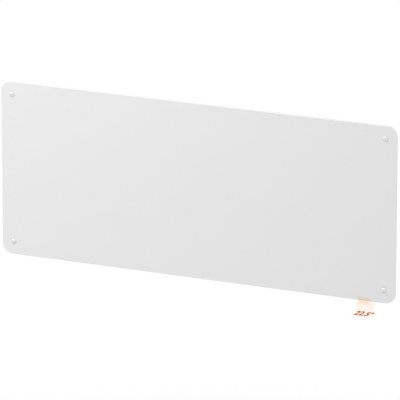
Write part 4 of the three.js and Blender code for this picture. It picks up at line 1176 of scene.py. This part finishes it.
# Power switch
# A black frame snaps into the right-hand end cap and holds a white rocker, which tips about
# its hub and stays where it is put.
eased("switch_frame", black_moulding, radius=0.3 * mm, steps=3)
rocker = eased("power_rocker", white_moulding, radius=0.4 * mm, steps=3)
_, switch_y, switch_z = middle_of("switch_frame")
switch_face = highest_of("switch_frame")[0]
mark_rise = 4.2 * mm
for mark, up, strokes in (
    ("on", 1, [stroke((0, -1.4), (0, 1.4))]),
    ("off", -1, [stroke(*arc(1.4, 0, 340, 17), closed=True)]),
):
    mark_place = (switch_face, switch_y, switch_z + up * mark_rise)
    ink = printed(f"rocker_{mark}_mark", rocker, strokes, mark_place, (0, 1, 0), (0, 0, 1), width=0.6)
    fitted(ink, "power_rocker")


# Front chassis
# A white powder-coated steel tray carries the glass and closes the casing's front. Two beads
# stiffen it, and four standoffs are clinched through it.
eased("front_chassis", white_powder, radius=0.3 * mm, arc_cuts=1)


# Standoffs
# Turned and zinc-plated posts with a threaded bore hold the glass 9 mm off the chassis. Their
# middles are knurled, so that they can be held while the studs are screwed in.
glass_back = -highest_of("glass_panel")[1]
stud_places = {}
for corner in ("lower_left", "upper_left", "lower_right", "upper_right"):
    x, _, z = middle_of(f"stud_cap_{corner}")
    stud_places[corner] = (x, -glass_back, z)


def turned_at_studs(kind, coat, profile, sides=56):
    """A turned piece at each stud, its heights measured forwards from the back of the glass."""
    return [
        stands_for(
            turned(f"{kind}_{corner}_shape", coat, profile, place, (0, -1, 0), sides),
            f"{kind}_{corner}",
        )
        for corner, place in stud_places.items()
    ]


standoff_profile = [
    (0, -10.2), (4, -10.2), (4, -8.7), (6, -8.7), (6, -1.3), (2.8, -1.3), (2.8, -8.3), (0, -8.3),
]
turned_at_studs("standoff", zinc_steel, rounded(in_metres(standoff_profile), radius=0.35 * mm))
knurl_behind_glass = 5 * mm
knurls = repeated(
    "standoff_knurls",
    grip_ribs,
    [(x, y + knurl_behind_glass, z) for x, y, z in stud_places.values()],
    Radius=6 * mm,
    Length=4.4 * mm,
    Rib=0.5 * mm,
    Count=40,
    Facing=(0, -1, 0),
    Material=zinc_steel,
)
fitted(knurls, "heater")


# Stud bushes
# Clear plastic collars keep the metal studs off the glass, one through each of its holes.
# Each has a flange behind the pane.
def clear_moulding(place):
    flow = place.noise(200)
    return {
        "Base Color": flow.blend((0.86, 0.89, 0.9, 1), (0.92, 0.94, 0.95, 1)),
        "Transmission Weight": 0.7,
        "Roughness": 0.18 + flow * 0.1,
        "IOR": 1.49,
    }


bush_profile = [(2.8, -1), (5.6, -1), (5.6, -0.3), (3.6, -0.3), (3.6, 4.7), (2.8, 4.7), (2.8, 2)]
turned_at_studs("stud_bush", finish("clear_bush", clear_moulding), in_metres(bush_profile), sides=40)


# Glass front
# A 5 mm pane of toughened low-iron glass with white enamel fired on to its back. Its edge and
# its rounded corners are ground to a soft arris and polished, and it has four holes.
glass_wide, glass_thick, glass_high = (
    high - low for low, high in zip(lowest_of("glass_panel"), highest_of("glass_panel"))
)
glass_corner = 20 * mm
arris = 1.2 * mm
arris_steps = 5
glass_hole = 4 * mm
drill_past = 4 * mm


def enamelled_glass(place):
    roller_wave = place.drawn_out(1, 1, 2.5).noise(4.0, 1.0)
    wiped = place.drawn_out(1, 1, 3).noise(9.0, 3.0)
    return {
        "Base Color": wiped.blend((0.79, 0.79, 0.792, 1), (0.802, 0.802, 0.804, 1)),
        "Roughness": 0.07 + wiped * 0.05,
        "IOR": 1.52,
        "relief": (roller_wave, 0.25 * mm),
    }


# The edge's base colour is lighter than the enamelled face's: painted light, standing for the light that
# passes through the clear glass edge.
def polished_edge_painted_light(place):
    grind = place.noise(1200, 3.0)
    return {
        "Base Color": grind.blend((0.83, 0.842, 0.838, 1), (0.87, 0.88, 0.876, 1)),
        "Roughness": 0.12 + grind * 0.1,
        "IOR": 1.52,
    }


def fired_enamel(place):
    orange = place.noise(340)
    pinhole = place.noise(60, 4.0)
    return {
        "Base Color": pinhole.blend((0.77, 0.775, 0.772, 1), (0.81, 0.812, 0.81, 1)),
        "Roughness": 0.42 + orange * 0.16,
        "relief": (orange, 0.02 * mm),
    }


def glass_ring(inset, depth):
    """The pane's outline drawn in by an inset, at a depth forwards from its back."""
    wide, high, corner = glass_wide - 2 * inset, glass_high - 2 * inset, glass_corner - inset
    return [(x, -(glass_back + depth), z) for x, z in corner_path(wide, high, corner, steps=16)]


arris_turns = [math.pi / 2 * i / arris_steps for i in range(arris_steps + 1)]
glass_rings = [glass_ring(arris * (1 - math.sin(t)), arris * (1 - math.cos(t))) for t in arris_turns]
glass_rings += [
    glass_ring(arris * (1 - math.cos(t)), glass_thick - arris * (1 - math.sin(t))) for t in arris_turns
]
edge_glass = finish("polished_glass_edge_painted_light", polished_edge_painted_light)
pane = lofted(
    "glass_panel_shape",
    glass_rings,
    finish("enamelled_glass", enamelled_glass),
    edge_glass,
    finish("fired_enamel", fired_enamel),
)
drill_profile = [
    (0, -drill_past), (glass_hole, -drill_past),
    (glass_hole, glass_thick + drill_past), (0, glass_thick + drill_past),
]
drills = []
for corner, place in stud_places.items():
    drills.append(turned(f"drill_{corner}", edge_glass, drill_profile, place, (0, -1, 0), sides=48))
    hole = pane.modifiers.new(f"hole_{corner}", "BOOLEAN")
    hole.operation = "DIFFERENCE"
    hole.object = drills[-1]
plain(pane)
for drill in drills:
    bpy.data.objects.remove(drill)
enamel_from = 0.999
front_from = 0.97
for face in pane.data.polygons:
    if face.normal.y > enamel_from:
        face.material_index = 2
    elif face.normal.y > -front_from:
        face.material_index = 1
    else:
        face.material_index = 0
stands_for(smoothed(pane, crease=60), "glass_panel")


# Stud caps
# Turned stainless caps clamp the pane at its corners, each on a threaded shank that goes
# through the glass into its standoff. The face is satin and the wide bevel round it is blasted.
# The bevel's base colour is lighter than the face's, a painted highlight ring round the face.
def satin_stud(place):
    satin = place.noise(2600, 3.0)
    return {
        "Base Color": satin.blend((0.65, 0.65, 0.655, 1), (0.74, 0.74, 0.745, 1)),
        "Metallic": 1.0,
        "Roughness": 0.26 + satin * 0.14,
        "relief": (satin, 0.004 * mm),
    }


# The bevel's base colour is set lighter than the satin face's, as a painted highlight ring; its roughness
# is the blasted finish.
def blasted_bevel_painted_highlight(place):
    haze = place.noise(1500)
    return {
        "Base Color": haze.blend((0.71, 0.71, 0.715, 1), (0.77, 0.77, 0.775, 1)),
        "Metallic": 1.0,
        "Roughness": 0.67 + haze * 0.08,
    }


satin_steel = finish("satin_stud_steel", satin_stud)
bevel_steel_painted_highlight = finish("blasted_stud_bevel_painted_highlight", blasted_bevel_painted_highlight)
bevel_from = 2.7 * mm
cap_profile = [(0, -6), (2.5, -6), (2.5, 5.3), (5, 5.3), (5, 5.7), (2.8, 7), (0, 7.2)]
cap_shape = rounded(in_metres(cap_profile), radius=0.35 * mm)
caps = turned_at_studs("stud_cap", satin_steel, cap_shape, sides=64)
# Faces beyond bevel_from take the lighter bevel coat, the painted highlight ring.
for cap, (x, _, z) in zip(caps, stud_places.values()):
    cap.data.materials.append(bevel_steel_painted_highlight)
    for face in cap.data.polygons:
        from_axis = math.hypot(face.center.x - x, face.center.z - z)
        face.material_index = int(from_axis > bevel_from)


# The thrown reading
# Light, and no part of the heater: a warm beam falls from the projector past the edge of the
# glass, and the set temperature stands under it as orange numerals in a level plane. It swings
# out with the projector.
def thrown(piece):
    """A patch of light that moves with the heater and is no piece of it."""
    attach(piece, "heater")


def lit_air(name, tint_at):
    """A see-through material, from the tint that tint_at gives for a place on it."""
    made = bpy.data.materials.new(name)
    place = bare_tree(made).node("ShaderNodeTexCoord", out="Object")
    air_filter = place.node("ShaderNodeBsdfTransparent", sockets={"Color": tint_at(place)})
    place.node("ShaderNodeOutputMaterial", sockets={"Surface": air_filter})
    return made


def beam(name, tint, clear, full, rings):
    """The four walls of a beam, tinted from nothing at one height to the full tint at another.

    A ring is (height, front, back, and the x of its four corners), all in millimetres.
    """
    def tint_at(place):
        return place.part("z").step(clear * mm, full * mm).blend((1, 1, 1, 1), (*tint, 1))

    shape = bmesh.new()
    loops = []
    for height, front, back, *sides in rings:
        corners = zip(sides, (front, front, back, back))
        loops.append([shape.verts.new((x * mm, y * mm, height * mm)) for x, y in corners])
    for upper, lower in zip(loops, loops[1:]):
        for i in range(4):
            shape.faces.new((upper[i], upper[(i + 1) % 4], lower[(i + 1) % 4], lower[i]))
    thrown(shown(name, mesh_of(shape, name), lit_air(name, tint_at)))


beam("beam_core", tint=(0.976, 0.915, 0.84), clear=-165, full=-173, rings=[
    (-147.5, -51.5, -40.5, 324, 334, 332, 322),
    (-165, -81.4, -50, 329, 348, 337.5, 318.5),
    (-176.5, -81.4, -49.5, 329, 348, 337, 317),
])
beam("beam_glow", tint=(0.99, 0.935, 0.88), clear=-203, full=-185, rings=[
    (-147.5, -52, -40, 322.5, 335, 333.5, 321),
    (-165, -81.6, -49, 327, 352, 342.5, 315.5),
    (-178, -81.8, -48.5, 326.5, 353, 342.5, 314.5),
    (-199.5, -82, -48, 319, 355, 350, 313.5),
])

glowing_numerals = bpy.data.materials.new("thrown_numerals")
numeral_light = bare_tree(glowing_numerals).node(
    "ShaderNodeEmission", sockets={"Color": (0.5, 0.1, 0.025, 1), "Strength": 1.0},
)
clear_where(numeral_light.node("ShaderNodeNewGeometry", out="Backfacing"), numeral_light)
numeral_curve = bpy.data.curves.new("thrown_reading", "FONT")
numeral_curve.body = "22.5°"
numeral_curve.offset = 0.036
numerals = added("thrown_reading", numeral_curve)
numeral_mesh = finished_mesh(numerals)
bpy.data.objects.remove(numerals)
reading_low = Vector((316.5, -79.5, -200)) * mm
reading_high = Vector((351, -53, -200)) * mm
text_low = Vector((min(v.co[axis] for v in numeral_mesh.vertices) for axis in range(3)))
text_high = Vector((max(v.co[axis] for v in numeral_mesh.vertices) for axis in range(3)))
for vertex in numeral_mesh.vertices:
    for axis in (0, 1):
        share = (vertex.co[axis] - text_low[axis]) / (text_high[axis] - text_low[axis])
        vertex.co[axis] = reading_low[axis] + share * (reading_high[axis] - reading_low[axis])
    vertex.co.z = reading_low.z
thrown(shown("thrown_reading", numeral_mesh, glowing_numerals))

pool_middle = (reading_low + reading_high) / 2 - Vector((0, 0, 0.5 * mm))
pool_wide = 34 * mm
pool_deep = 30 * mm


def pool_tint(place):
    share = place.vector("SUBTRACT", place, pool_middle).drawn_out(1 / pool_wide, 1 / pool_deep, 0)
    return share.length().step(0.4, 1).blend((1, 0.955, 0.86, 1), (1, 1, 1, 1))


pool_mesh = disc("pool_of_light", pool_middle, pool_wide, pool_deep, sides=64)
thrown(shown("pool_of_light", pool_mesh, lit_air("pool_of_light", pool_tint)))

import json
